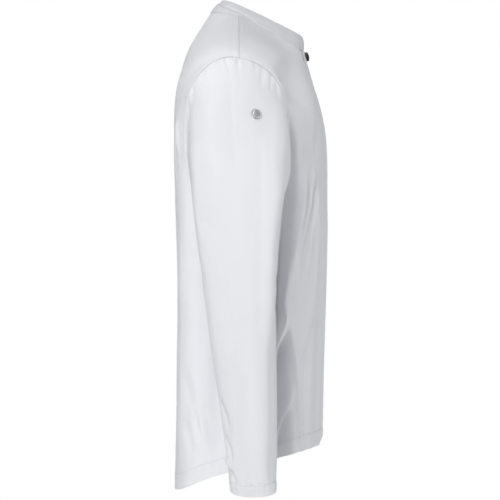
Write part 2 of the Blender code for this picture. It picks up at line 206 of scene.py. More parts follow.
@dataclass(frozen=True)
class Ring:
    """One ring of the trunk, in millimetres, or many where the fields are arrays.

    The full values say how much squarer than an ellipse it is. The bow values say how its height
    runs between the side and the centre: 0 is a straight line and -1 a parabola.
    """

    half_width: float
    front_y: float
    back_y: float
    front_z: float
    side_z: float
    back_z: float
    front_full: float
    back_full: float
    front_bow: float
    back_bow: float

    def point(self, turn: Array) -> Array:
        """Points of the ring.

        Args:
            turn: radians round the trunk, 0 at the front and a quarter turn at the wearer's left.

        Returns:
            Points in metres, x and y by the fuller ellipse and z by the bow.
        """
        ahead = np.cos(turn) >= 0
        full = np.where(ahead, self.front_full, self.back_full)
        bow = np.where(ahead, self.front_bow, self.back_bow)
        end_z = np.where(ahead, self.front_z, self.back_z)
        reach = np.where(ahead, -self.front_y, self.back_y)
        share = fuller(np.abs(np.cos(turn)), full)
        x = self.half_width * fuller(np.sin(turn), full)
        z = self.side_z + (end_z - self.side_z) * share * (1 + bow * (1 - share))
        return np.stack(np.broadcast_arrays(x, reach * share, z), axis=-1) * MM


TRUNK_RINGS = {
    "neck": Ring(75, 97, 46, -49, 0, 9, 0.01, 0.00, 0.0, 0.0),
    "neck_base": Ring(98, 103, 58, -74, -9, -10, 0.01, 0.01, -0.3, -0.5),
    "trapeze": Ring(132, 111, 77, -102, -23, -42, 0.02, 0.02, -0.6, -1.0),
    "blade": Ring(168, 120, 91, -130, -38, -77, 0.02, 0.03, -0.8, -1.2),
    "shoulder": Ring(197, 127, 101, -160, -54, -115, 0.02, 0.05, -0.8, -1.3),
    "arm_top": Ring(215, 131, 104, -192, -74, -152, 0.02, 0.06, -0.8, -1.3),
    "arm_high": Ring(219, 132.5, 103, -226, -118, -188, 0.02, 0.08, -0.9, -1.2),
    "arm_mid": Ring(215, 132.5, 102, -256, -176, -226, 0.02, 0.09, -1.0, -1.0),
    "arm_low": Ring(210, 132.5, 101, -284, -230, -258, 0.03, 0.09, -1.0, -1.0),
    "underarm": Ring(206, 132.5, 100, -314, -275, -292, 0.04, 0.09, -1.0, -1.0),
    "rib": Ring(204, 132, 96.5, -360, -335, -345, 0.04, 0.10, -0.5, -0.5),
    "waist": Ring(199, 130, 92.5, -442, -430, -436, 0.04, 0.11, 0.0, 0.0),
    "hip": Ring(203, 127, 95.5, -540, -545, -560, 0.04, 0.09, 0.4, 0.0),
    "seat": Ring(207, 126, 99, -602, -620, -650, 0.04, 0.08, 0.7, -0.25),
    "hem": Ring(208, 125, 99.5, -647, -675, -714, 0.04, 0.08, 0.95, -0.5),
}


@dataclass
class TrunkForm:
    """The trunk's smooth outer form: a level counts the rings, and a turn goes round them."""

    rings: dict[str, Ring] = field(default_factory=lambda: dict(TRUNK_RINGS))
    gauge_ring: str = "rib"
    gauge_points: int = 361

    def __post_init__(self) -> None:
        """Keeps the rings as a table, and the length round one of them as a measure."""
        self.table = np.array([astuple(ring) for ring in self.rings.values()], dtype=float)
        self.gauge_turns = np.linspace(0.0, math.pi, self.gauge_points)
        self.gauge_run = run_down(self.rings[self.gauge_ring].point(self.gauge_turns) / MM)

    def level_of(self, name: str) -> int:
        """The level of a named ring."""
        return list(self.rings).index(name)

    @property
    def hem_level(self) -> int:
        """The last level."""
        return len(self.rings) - 1

    @property
    def half_round(self) -> float:
        """Half the length round the trunk, in millimetres."""
        return float(self.gauge_run[-1])

    def round_from_front(self, turn: Array) -> Array:
        """Millimetres round the trunk from the centre front, positive towards the left."""
        return np.sign(turn) * np.interp(np.abs(turn), self.gauge_turns, self.gauge_run)

    def ring(self, level: Array) -> Ring:
        """The rings at any levels."""
        return Ring(*np.moveaxis(glide(self.table, level), -1, 0))

    def point(self, level: Array, turn: Array) -> Array:
        """Points of the form, in metres."""
        return self.ring(level).point(np.asarray(turn, dtype=float))

    def outward(self, level: Array, turn: Array) -> Array:
        """Directions out of the form: the cross product of the way down and the way round.

        Args:
            level: levels on the form.
            turn: turns round it.

        Returns:
            Directions of length one.
        """
        step = 1e-3
        down = (self.point(np.clip(level + step, 0, self.hem_level), turn)
                - self.point(np.clip(level - step, 0, self.hem_level), turn))
        around = self.point(level, turn + step) - self.point(level, turn - step)
        return unit(np.cross(down, around))


@dataclass
class ArmholeSeam:
    """The left armhole's seam: where it runs, how the sleeve leaves it and how its cut is mitred."""

    arcs: Array
    points: Array
    leaving: Array
    mitre: Array
    across: Array


@dataclass(frozen=True)
class RearSeam:
    """The armhole's seam behind, where it sinks less and the hollow beside it is filled.

    Arcs are in degrees, 0 at the shoulder and negative behind, and lengths in millimetres.
    """

    shallow: float = 0.85
    start: float = -35.0
    start_fade: float = 20.0
    end: float = -176.0
    end_fade: float = 24.0
    fill_height: float = 2.6
    fill_width: float = 11.0

    def depth(self, degrees: Array) -> Array:
        """How deep the seam sinks at an arc, from 1 in front to 1 less shallow behind."""
        behind = ease((self.start - degrees) / self.start_fade)
        return 1 - self.shallow * behind * ease((degrees - self.end) / self.end_fade)

    def fill(self, depth: Array, to_seam: Array) -> Array:
        """Millimetres of fill: a hill along the seam, higher where the seam is shallow."""
        return self.fill_height * (1 - depth) * hill(to_seam, self.fill_width)


@dataclass
class Armhole:
    """The opening of the sleeve on the side of the trunk, an oval squarer above its middle.

    An arc goes round it, 0 at the shoulder, a quarter turn in front and half a turn underarm.
    """

    form: TrunkForm
    front_reach: float = 70.5
    back_reach: float = 76.0
    front_arch: float = 0.09
    back_arch: float = 0.11
    leave_top: float = 12.0
    leave_underarm: float = 112.0
    turn_late: float = 1.6
    front_overhang: float = 32.0
    overhang_start: float = 0.7
    overhang_rise: float = 0.85
    overhang_fall: float = 1.1
    fall: float = 0.35
    least_spread: float = 0.5

    def edge(self, arc: Array, ahead: bool) -> tuple[Array, Array]:
        """The armhole's front or back edge.

        Args:
            arc: from 0 at the shoulder to half a turn underarm.
            ahead: whether it is the front edge.

        Returns:
            The levels, by the fuller cosine, and the turns, by the fuller sine.
        """
        full = np.where(arc < QUARTER, self.front_arch if ahead else self.back_arch, 0.0)
        top, bottom = self.form.level_of("arm_top"), self.form.level_of("underarm")
        level = top + 0.5 * (bottom - top) * (1 - fuller(np.cos(arc), full))
        ring = self.form.ring(level)
        reach = (self.front_reach if ahead else self.back_reach) * fuller(np.sin(arc), full)
        if ahead:
            return level, np.arccos(fuller_share(reach / ring.front_y, ring.front_full))
        return level, math.pi - np.arccos(fuller_share(reach / ring.back_y, ring.back_full))

    def leave_angle(self, arcs: Array) -> Array:
        """The angle at which the sleeve's cloth leaves the trunk's.

        Args:
            arcs: radians round the armhole.

        Returns:
            Radians, which rise from the shoulder to the underarm by a power of the sine of half
            the arc, with a lobe in front where the sleeve overhangs the chest.
        """
        swing = (0.5 * (1 - np.cos(arcs))) ** self.turn_late
        leave = self.leave_top + (self.leave_underarm - self.leave_top) * swing
        lobe = ease((arcs - self.overhang_start) / self.overhang_rise)
        lobe = lobe * ease((math.pi - arcs) / self.overhang_fall)
        return np.radians(leave + self.front_overhang * lobe)

    def seam(self, count: int, crowd: float = 0.0) -> ArmholeSeam:
        """The seam at arcs all round.

        Args:
            count: how many arcs go once round.
            crowd: how much closer they lie at the shoulder than underarm.

        Returns:
            The seam. A sleeve leaves it along the trunk near the shoulder and out of the trunk
            underarm, and the cut between them halves the angle of the two cloths.
        """
        even = np.linspace(0.0, FULL_TURN, count, endpoint=False)
        arcs = even - crowd * np.sin(even)
        ahead = arcs <= math.pi
        down = np.where(ahead, arcs, FULL_TURN - arcs)
        levels, turns = np.where(ahead, self.edge(down, True), self.edge(down, False))
        points = self.form.point(levels, turns)
        outward = self.form.outward(levels, turns)
        along = unit(np.roll(points, -1, axis=0) - np.roll(points, 1, axis=0))
        inward = unit(np.cross(outward, along))
        middle = points.mean(axis=0)
        inward *= np.sign(np.sum(inward * (middle - points), axis=1, keepdims=True))
        leave = self.leave_angle(arcs)[:, None]
        fall = self.fall * np.abs(np.sin(arcs))[:, None] * np.array([0.0, 0.0, -1.0])
        leaving = unit(np.cos(leave) * inward + np.sin(leave) * outward + fall)
        cloth_out = unit(np.cross(leaving, along))
        facing = np.cos(leave) * outward - np.sin(leave) * inward
        cloth_out *= np.sign(np.sum(cloth_out * facing, axis=1, keepdims=True))
        halving = unit(outward + cloth_out)
        across = unit(np.cross(along, halving))
        across *= np.sign(np.sum(across * leaving, axis=1, keepdims=True))
        spread = np.maximum(np.sum(halving * outward, axis=1, keepdims=True), self.least_spread)
        return ArmholeSeam(arcs, points, leaving, halving / spread, across)


@dataclass(frozen=True)
class Section:
    """A level oval section of the left sleeve, in millimetres.

    front_flat says how far its outer front quarter is pressed flat, towards a square corner.
    """

    x: float
    y: float
    z: float
    half_x: float
    half_y: float
    front_flat: float


SLEEVE_SECTIONS = {
    "upper_arm": Section(258, 1.5, -300, 48.0, 63.5, 1.1),
    "above_elbow": Section(263, 1.0, -354, 47.5, 57.5, 1.1),
    "elbow": Section(270, -1.5, -426, 46.5, 51.5, 0.8),
    "forearm": Section(278, -6.0, -497, 45.0, 46.7, 0.3),
    "low_forearm": Section(286, -12.0, -567, 43.5, 41.7, 0.0),
    "wrist": Section(294, -16.5, -637, 41.5, 37.0, 0.0),
    "cuff": Section(300, -20.0, -697, 40.0, 32.7, 0.0),
}


@dataclass
class SleeveForm:
    """The left sleeve's smooth outer form: a head from the armhole to a tube of oval sections."""

    sections: dict[str, Section] = field(default_factory=lambda: dict(SLEEVE_SECTIONS))
    cuff_drop: float = 6.0
    corner_start: float = 0.45
    lean_reach: float = 0.3
    pull_top: float = 1.2
    pull_underarm: float = 0.9

    def __post_init__(self) -> None:
        """Keeps the sections as a table."""
        self.table = np.array([astuple(section) for section in self.sections.values()])

    @property
    def last(self) -> int:
        """The cuff's place in the tube."""
        return len(self.sections) - 1

    def tube(self, arc: Array, place: Array) -> Array:
        """Points of the tube.

        Args:
            arc: radians round it, as round the armhole.
            place: how many sections down, which may lie between two.

        Returns:
            Points in metres: an oval whose outer side hangs lower towards the cuff, and whose
            outer front quarter reaches out further by the square of a share, as if pressed flat.
        """
        section = Section(*np.moveaxis(glide(self.table, place), -1, 0))
        drop = self.cuff_drop * np.asarray(place) / self.last
        corner = np.clip((np.sin(arc) - self.corner_start) / (1 - self.corner_start), 0.0, 1.0)
        corner = corner * (np.cos(arc) > 0)
        x = section.x + section.half_x * np.cos(arc) * (1 + section.front_flat * corner ** 2)
        y = section.y - section.half_y * np.sin(arc)
        return np.stack(np.broadcast_arrays(x, y, section.z - drop * np.cos(arc)), axis=-1) * MM

    def head(self, seam: ArmholeSeam, share: Array) -> Array:
        """Rows of the sleeve head.

        Args:
            seam: the armhole's seam.
            share: how far down each row lies, from 0 at the seam to 1 at the tube.

        Returns:
            Points in metres, on cubics that leave the seam and meet the tube along its sides.
        """
        end = self.tube(seam.arcs, np.array(0.0))
        end_lean = unit(self.tube(seam.arcs, np.array(self.lean_reach)) - end)
        swing = 0.5 * (1 - np.cos(seam.arcs))[:, None]
        pull = self.pull_top + (self.pull_underarm - self.pull_top) * swing
        reach = pull * np.linalg.norm(end - seam.points, axis=1, keepdims=True)
        t = share[:, None, None]
        return ((2 * t ** 3 - 3 * t ** 2 + 1) * seam.points
                + (t ** 3 - 2 * t ** 2 + t) * reach * seam.leaving
                + (3 * t ** 2 - 2 * t ** 3) * end
                + (t ** 3 - t ** 2) * reach * end_lean)


# ---- creases

@dataclass(frozen=True)
class Crease:
    """One soft ridge or trough along a line on the cloth, in millimetres.

    across and down are the cloth's own measures. height is above the cloth, and negative for a
    trough. width is where it has fallen to about a third. bow pushes the middle of the line
    sideways, spread widens the far end, and lean makes one flank steeper. crisp sharpens its
    crest, and fade is the share of its length over which each end dies away. crest is the share
    of the width over which even a crisp crest stays round.
    """

    across: float
    down: float
    to_across: float
    to_down: float
    height: float
    width: float
    bow: float = 0.0
    spread: float = 0.0
    lean: float = 0.0
    crisp: float = 0.3
    fade: tuple[float, float] = (0.35, 0.45)
    crest: float = 0.1

    def relief(self, across: Array, down: Array) -> Array:
        """Its height at each point.

        Args:
            across: millimetres across the cloth.
            down: millimetres down the cloth.

        Returns:
            Millimetres: e to the minus offset to a power between 2, round, and 1, crisp.
        """
        line_across, line_down = self.to_across - self.across, self.to_down - self.down
        length = math.hypot(line_across, line_down)
        step_across, step_down = across - self.across, down - self.down
        along = (step_across * line_across + step_down * line_down) / length ** 2
        aside = (step_across * line_down - step_down * line_across) / length
        inside = np.clip(along, 0.0, 1.0)
        aside = aside - self.bow * 4 * inside * (1 - inside)
        width = self.width * (1 + self.spread * inside) * (1 + self.lean * np.sign(aside))
        offset = np.sqrt(np.square(aside / width) + self.crest ** 2) - self.crest
        start, end = self.fade
        taper = ease(along / start) * ease((1 - along) / end)
        return self.height * taper * np.exp(-offset ** (2 - self.crisp))


@dataclass(frozen=True)
class Rumple:
    """Faint unevenness all over a cloth: sine waves of many lengths in many directions."""

    seed: int
    height: float
    shortest: float
    longest: float
    waves: int = 18
    hang: float = 1.6
    patchy: float = 0.35
    patch_wander: float = 1.3

    def relief(self, across: Array, down: Array) -> Array:
        """Its height at each point.

        Args:
            across: millimetres across the cloth.
            down: millimetres down the cloth, along which the waves are longer by hang.

        Returns:
            Millimetres: the sum of the waves, made stronger and weaker in slow patches.
        """
        dice = np.random.default_rng(self.seed)
        lengths = np.geomspace(self.shortest, self.longest, self.waves)
        total = np.zeros_like(across)
        for length in lengths:
            lie, phase = dice.uniform(0, math.pi), dice.uniform(0, FULL_TURN)
            travel = across * math.cos(lie) + down / self.hang * math.sin(lie)
            total += np.sin(FULL_TURN * travel / length + phase) * length / self.longest
        wander = self.patch_wander * np.sin(down / self.longest)
        patch = 1 - self.patchy + self.patchy * np.sin(across / self.longest + wander)
        return self.height * total / math.sqrt(0.25 * self.waves) * patch


FRONT_RIGHT_CREASES = (
    Crease(190, 52, 160, 210, -17, 30, crisp=0, fade=(0.3, 0.5)),
    Crease(156, 130, 152, 300, -5, 34, crisp=0, fade=(0.4, 0.5)),
    Crease(176, 126, 227, 512, -17, 15, bow=4, spread=-0.85, crisp=0, fade=(0.3, 0.3)),
    Crease(128, 214, 190, 410, -4.4, 4.6, bow=10, crisp=0.2, fade=(0.25, 0.4)),
    Crease(108, 218, 190, 440, -4.2, 4.4, bow=13, crisp=0.2, fade=(0.25, 0.4)),
    Crease(118, 216, 192, 420, 3.6, 4.2, bow=12, crisp=0.2, fade=(0.25, 0.4)),
    Crease(146, 212, 200, 420, 4.2, 5, bow=8, crisp=0.2, fade=(0.3, 0.4)),
    Crease(96, 222, 180, 440, 4.6, 5.6, bow=13, crisp=0.2, fade=(0.3, 0.4)),
    Crease(86, 226, 160, 360, -3.2, 5, bow=10, crisp=0.2, fade=(0.4, 0.5)),
    Crease(132, 196, 142, 470, 3.8, 8, bow=-3, lean=-0.2, fade=(0.3, 0.5)),
    Crease(138, 330, 150, 700, 3.6, 12, bow=6, fade=(0.3, 0.15)),
    Crease(162, 480, 164, 560, -3.2, 5.5, bow=2, fade=(0.4, 0.4)),
    Crease(206, 424, 224, 566, 10, 5.2, crisp=0.4, fade=(0.3, 0.25)),
    Crease(180, 140, 192, 310, -14, 9, crisp=0, fade=(0.3, 0.4)),
    Crease(186, 140, 208, 320, -5, 10, crisp=0, fade=(0.4, 0.4)),
    Crease(213, 452, 216, 716, -22, 9, spread=1, crisp=0, fade=(0.22, 0.12)),
    Crease(203, 530, 198, 712, -10, 9, crisp=0, fade=(0.4, 0.12)),
    Crease(206, 440, 172, 690, 5.5, 4.5, bow=-6, crisp=0.6, lean=-0.3, fade=(0.3, 0.15)),
    Crease(189, 544, 221, 656, 9.5, 5.2, crisp=0.5, fade=(0.35, 0.2)),
    Crease(128, 436, 172, 540, -5, 6.5, bow=3, crisp=0.4),
    Crease(146, 430, 182, 512, 2.8, 5, bow=3, crisp=0.4),
    Crease(104, 286, 116, 650, -4.6, 9, bow=-4, fade=(0.2, 0.3)),
    Crease(84, 250, 84, 660, 2.6, 10, bow=4),
    Crease(56, 330, 52, 700, -3, 14, fade=(0.4, 0.2)),
    Crease(160, 560, 158, 650, -3, 8, spread=0.6, fade=(0.5, 0.4)),
    Crease(44, 96, 118, 176, -1.4, 10, bow=-8),
    Crease(96, 150, 130, 230, -2.6, 6, bow=4),
)
FRONT_LEFT_CREASES = (
    Crease(118, 232, 180, 392, -2.2, 5, bow=11, crisp=0.6, fade=(0.3, 0.5)),
    Crease(108, 226, 172, 362, 1.8, 6, bow=14, crisp=0.5, fade=(0.3, 0.5)),
    Crease(97, 240, 158, 352, -1.8, 6, bow=14, crisp=0.5),
    Crease(188, 236, 220, 486, -7, 15, bow=5, lean=-0.2, fade=(0.25, 0.35)),
    Crease(206, 458, 228, 560, 3.6, 5.5, crisp=0.8, fade=(0.4, 0.3)),
    Crease(216, 496, 212, 690, -9, 8, spread=1, fade=(0.3, 0.15)),
    Crease(201, 470, 168, 640, 3.4, 7, bow=-4, crisp=0.7, fade=(0.3, 0.3)),
    Crease(138, 452, 166, 560, -2.6, 10, bow=5),
    Crease(122, 228, 118, 690, 2.6, 17, bow=-5, fade=(0.25, 0.2)),
    Crease(90, 262, 84, 640, -2, 17, bow=5),
    Crease(50, 380, 56, 700, 2.2, 19, fade=(0.4, 0.2)),
    Crease(155, 600, 150, 700, -2.2, 14, spread=0.4, fade=(0.5, 0.1)),
    Crease(50, 104, 138, 176, -0.9, 15, bow=-7),
)
BACK_CREASES = (
    Crease(0, 40, 0, 440, -5.6, 80, crisp=0, fade=(0.18, 0.4)),
    Crease(-242, 400, -236, 690, -7, 15, crisp=0, fade=(0.35, 0.2)),
    Crease(-152, 150, -176, 224, 3, 6, bow=3, crisp=0.5),
    Crease(-140, 158, -160, 262, -1.6, 7, bow=4),
    Crease(-198, 584, -212, 640, -2.8, 6.5, crisp=0.2),
    Crease(-213, 578, -228, 632, -2.4, 5.5, crisp=0.2),
    Crease(-182, 600, -198, 664, -2.8, 7.5, crisp=0.2),
    Crease(-207, 588, -221, 640, 2.6, 4.5),
    Crease(-176, 520, -206, 600, -2.6, 10, bow=4),
    Crease(-60, 150, -74, 640, 2.4, 26, bow=8, fade=(0.3, 0.3)),
    Crease(-112, 200, -104, 700, -2.6, 24, bow=-6, fade=(0.3, 0.15)),
    Crease(-166, 300, -158, 700, 2.6, 20, bow=4, fade=(0.3, 0.15)),
    Crease(-12, 170, -18, 700, -2, 24, bow=-4, fade=(0.3, 0.15)),
    Crease(38, 190, 44, 700, 2, 22, bow=5, fade=(0.3, 0.15)),
    Crease(84, 160, 92, 690, -2.6, 24, bow=6, fade=(0.3, 0.15)),
    Crease(142, 240, 136, 700, 2.6, 22, bow=-5, fade=(0.3, 0.15)),
    Crease(150, 156, 174, 236, 2, 6.5, bow=-3, crisp=0.5),
    Crease(136, 166, 158, 270, -1.6, 8, bow=-4),
    Crease(198, 580, 216, 630, -1.7, 5.5, crisp=0.5),
    Crease(184, 600, 200, 648, -1.5, 6, crisp=0.5),
    Crease(-230, 330, -170, 430, -1.4, 10, bow=6),
    Crease(226, 346, 168, 452, -1.4, 11, bow=-6),
    Crease(-40, 470, 60, 520, -1, 16, bow=6),
)
SLEEVE_CREASES = (
    Crease(44, 90, 40, 300, 3, 16, crisp=0, fade=(0.3, 0.5)),
    Crease(87, 110, 84, 380, -3.5, 10, crisp=0, fade=(0.25, 0.4)),
    Crease(-62, 110, -56, 460, 3.5, 18, fade=(0.25, 0.4)),
    Crease(8, 110, 12, 350, -1, 12),
    Crease(30, 150, 30, 470, 1.6, 11, bow=3),
    Crease(-28, 130, -20, 420, 1.5, 12, bow=-3),
    Crease(-52, 230, -8, 290, -1.5, 7, bow=4),
    Crease(-62, 300, -14, 356, -1.5, 7.5, bow=4),
    Crease(66, 380, 96, 430, -1.8, 7, bow=4, crisp=0.5),
    Crease(60, 414, 94, 462, -1.5, 7, bow=4, crisp=0.5),
    Crease(-92, 360, -58, 404, -1.2, 9, bow=-4),
    Crease(60, 430, 56, 700, -4, 14, crisp=0, fade=(0.3, 0.15)),
    Crease(6, 400, 2, 660, -1.6, 11, bow=-3),
    Crease(-24, 440, -26, 680, 1.5, 9),
    Crease(-96, 560, -62, 690, -2.6, 7, bow=-8, crisp=0.5, fade=(0.5, 0.25)),
    Crease(-78, 660, -34, 690, -4.8, 4.6, bow=3, crisp=0.4),
    Crease(-84, 646, -48, 674, 3.2, 5, bow=3, crisp=0.5),
    Crease(-74, 612, -40, 660, -3.6, 6, bow=4, crisp=0.3),
    Crease(-70, 560, -42, 622, -2.4, 7, bow=4, crisp=0.3),
    Crease(52, 640, 40, 694, -1, 8),
    Crease(120, 330, 96, 460, -2, 12),
    Crease(150, 320, 146, 600, 1.6, 14),
    Crease(-130, 330, -112, 480, -2, 12),
)


@dataclass(frozen=True)
class Gather:
    """A small fold that starts where fullness is eased into a seam.

    arc is degrees round the armhole from the shoulder, positive in front. length and width are
    millimetres on the cloth, and drift is how many degrees it strays on its way down. start is
    how full it is at the seam, rise how soon it is whole, and end where it has died away.
    """

    arc: float
    length: float
    width: float
    height: float
    drift: float = 0.0
    start: float = 0.3
    rise: float = 4.0
    end: float = 1.15

    def relief(self, degrees: Array, run: Array, measure: float) -> Array:
        """Its height at each point.

        Args:
            degrees: degrees round the armhole.
            run: millimetres of cloth from the armhole.
            measure: millimetres of cloth to a radian.

        Returns:
            Millimetres: a hill across the fold, eased in and out along it.
        """
        aside = np.radians((degrees - self.arc - self.drift * run / self.length) * measure)
        ends = ease(run / self.rise + self.start) * ease(self.end - run / self.length)
        return self.height * ends * hill(aside, self.width)


SLEEVE_GATHERS = (
    Gather(-61, 24, 2.4, -1.2, -14), Gather(-53, 24, 2.6, 0.9, -12), Gather(-46, 27, 2, -1.6, -10),
    Gather(-38, 24, 2.4, 0.9, -6), Gather(-31, 20, 1.6, -1.3, -4), Gather(-26, 30, 1.8, -2.1, -3),
    Gather(-20, 25, 2.2, 1, 0), Gather(-16, 19, 1.5, -1.2, 1), Gather(-11, 28, 1.8, -2.2, 3),
    Gather(-6, 22, 2.2, 0.9, 2), Gather(-1, 34, 1.7, -2.2, 2), Gather(4, 18, 1.5, -1.2, 2),
    Gather(9, 27, 2.6, 1.1, 2), Gather(14, 21, 1.6, -1.5, 3), Gather(21, 38, 2, -2.3, 4),
    Gather(26, 30, 2.2, 1.1, 5), Gather(31, 32, 1.6, -1.6, 5), Gather(38, 24, 1.8, -1.6, 8),
    Gather(46, 27, 3, 0.9, 8), Gather(58, 22, 3, -0.9, 6),
)


# ---- grids of cloth

@dataclass
class Cloth:
    """A sheet of cloth as a grid of points, with rows down it and columns round to the left.

    flat holds each point's place on the cut cloth, in metres, with one column more than the
    points where the grid closes on itself. rise is how far each point stands above the smooth
    form, and mitre replaces the outward directions wherever it isn't zero.
    """

    points: Array
    outward: Array
    flat: Array
    closed: bool = False
    rise: Array = field(init=False)
    mitre: Array = field(init=False)
    seam_pucker_and_shade: Array = field(init=False)

    def __post_init__(self) -> None:
        """Starts with no relief, no mitre and no seam near."""
        self.rise = np.zeros(self.points.shape[:2])
        self.mitre = np.zeros_like(self.points)
        self.seam_pucker_and_shade = np.zeros(self.points.shape[:2])

    def surface(self) -> Array:
        """The points as raised, in metres."""
        return self.points + self.directions(self.outward) * self.rise[..., None]

    def directions(self, given: Array) -> Array:
        """The given directions, or the mitre where there is one."""
        mitred = np.any(self.mitre != 0, axis=-1, keepdims=True)
        return np.where(mitred, self.mitre, given)

    def facing(self) -> Array:
        """Directions out of the raised cloth, or along the mitre."""
        return self.directions(facing_of(self.surface(), self.closed))

    def mirrored(self) -> "Cloth":
        """The cloth on the wearer's other side.

        Returns:
            A new sheet, with its columns in reverse, so that they go round to the left again.
        """
        other = Cloth((self.points * MIRROR)[:, ::-1], (self.outward * MIRROR)[:, ::-1],
                      self.flat[:, ::-1], self.closed)
        other.rise = self.rise[:, ::-1]
        other.mitre = (self.mitre * MIRROR)[:, ::-1]
        other.seam_pucker_and_shade = self.seam_pucker_and_shade[:, ::-1]
        return other


def linked(name: str, data: bpy.types.ID) -> Piece:
    """Puts a new object in the scene.

    Args:
        name: the object's name.
        data: its mesh, lamp or camera.

    Returns:
        The object.
    """
    made = bpy.data.objects.new(name, data)
    bpy.context.scene.collection.objects.link(made)
    return made


def grid_quads(rows: int, columns: int, closed: bool) -> tuple[Array, Array]:
    """The cells of a grid.

    Args:
        rows: how many rows of points there are.
        columns: how many columns of points there are.
        closed: whether the last column meets the first.

    Returns:
        The four point numbers of each cell, and the same counted over a grid with a closing
        column, for places on the flat cloth.
    """
    down, along = np.meshgrid(np.arange(rows - 1), np.arange(columns - (not closed)),
                              indexing="ij")
    down, along = down.ravel(), along.ravel()
    corners = ((0, 0), (1, 0), (1, 1), (0, 1))
    wide = columns + closed
    number = np.stack([(down + r) * columns + (along + c) % columns for r, c in corners], 1)
    place = np.stack([(down + r) * wide + along + c for r, c in corners], 1)
    return number, place


def rim_quads(rows: int, columns: int, closed: bool) -> Array:
    """The cells of a wall's cut edges.

    Args:
        rows: how many rows of points each face of the wall has.
        columns: how many columns of points it has.
        closed: whether the last column meets the first.

    Returns:
        The four point numbers of each cell, between the outer points and the inner ones,
        which are counted after all the outer ones.
    """
    within = rows * columns
    number = np.arange(within).reshape(rows, columns)
    if closed:
        ring = np.hstack([number, number[:, :1]])
        runs = [ring[0], ring[-1, ::-1]]
    else:
        runs = [number[0], number[-1, ::-1], number[::-1, 0], number[:, -1]]
    return np.concatenate([np.stack([run[:-1], run[1:], run[1:] + within, run[:-1] + within], 1)
                           for run in runs])


def mesh_piece(name: str, points: Array, quads: Array, flat: Array | None = None,
               sharp: float = 50.0) -> Piece:
    """An object from points and four-sided faces.

    Args:
        name: the object's name.
        points: places in metres.
        quads: four point numbers for each face.
        flat: a place on the flat cloth for each corner of each face, in metres.
        sharp: the angle in degrees past which an edge isn't shaded smooth.

    Returns:
        The object, at the origin.
    """
    mesh = bpy.data.meshes.new(name)
    mesh.vertices.add(len(points))
    mesh.vertices.foreach_set("co", np.ascontiguousarray(points, np.float32).ravel())
    mesh.loops.add(quads.size)
    mesh.loops.foreach_set("vertex_index", np.ascontiguousarray(quads, np.int32).ravel())
    mesh.polygons.add(len(quads))
    mesh.polygons.foreach_set("loop_start", np.arange(0, quads.size, 4, dtype=np.int32))
    if flat is not None:
        layer = mesh.uv_layers.new(name="cut_cloth")
        layer.data.foreach_set("uv", np.ascontiguousarray(flat, np.float32).ravel())
    mesh.update(calc_edges=True)
    mesh.validate()
    mesh.shade_smooth()
    mesh.set_sharp_from_angle(angle=math.radians(sharp))
    return linked(name, mesh)


def wall_piece(name: str, cloth: Cloth, thick: Array | float) -> Piece:
    """A closed wall of cloth: the raised points, and the same points moved in.

    Args:
        name: the object's name.
        cloth: the sheet.
        thick: millimetres of cloth at each point.

    Returns:
        The object, with the seam's nearness as a point attribute, which sets the puckers and the
        painted shade beside seams.
    """
    rows, columns = cloth.rise.shape
    outer = cloth.surface()
    inner = outer - cloth.facing() * (np.broadcast_to(thick, (rows, columns)) * MM)[..., None]
    points = np.concatenate([outer.reshape(-1, 3), inner.reshape(-1, 3)])
    number, place = grid_quads(rows, columns, cloth.closed)
    rim = rim_quads(rows, columns, cloth.closed)
    quads = np.concatenate([number, number[:, ::-1] + rows * columns, rim])
    on_cloth = cloth.flat.reshape(-1, 2)
    wide = cloth.flat.shape[1]
    rim_row, rim_column = np.divmod(rim % (rows * columns), columns)
    rim_flat = on_cloth[rim_row * wide + rim_column]
    flat = np.concatenate([on_cloth[place], on_cloth[place[:, ::-1]], rim_flat])
    made = mesh_piece(name, points, quads, flat)
    near = made.data.attributes.new("seam_pucker_and_shade", "FLOAT", "POINT")
    near.data.foreach_set("value", np.tile(cloth.seam_pucker_and_shade.ravel(), 2).astype(np.float32))
    return made


# ---- finishes

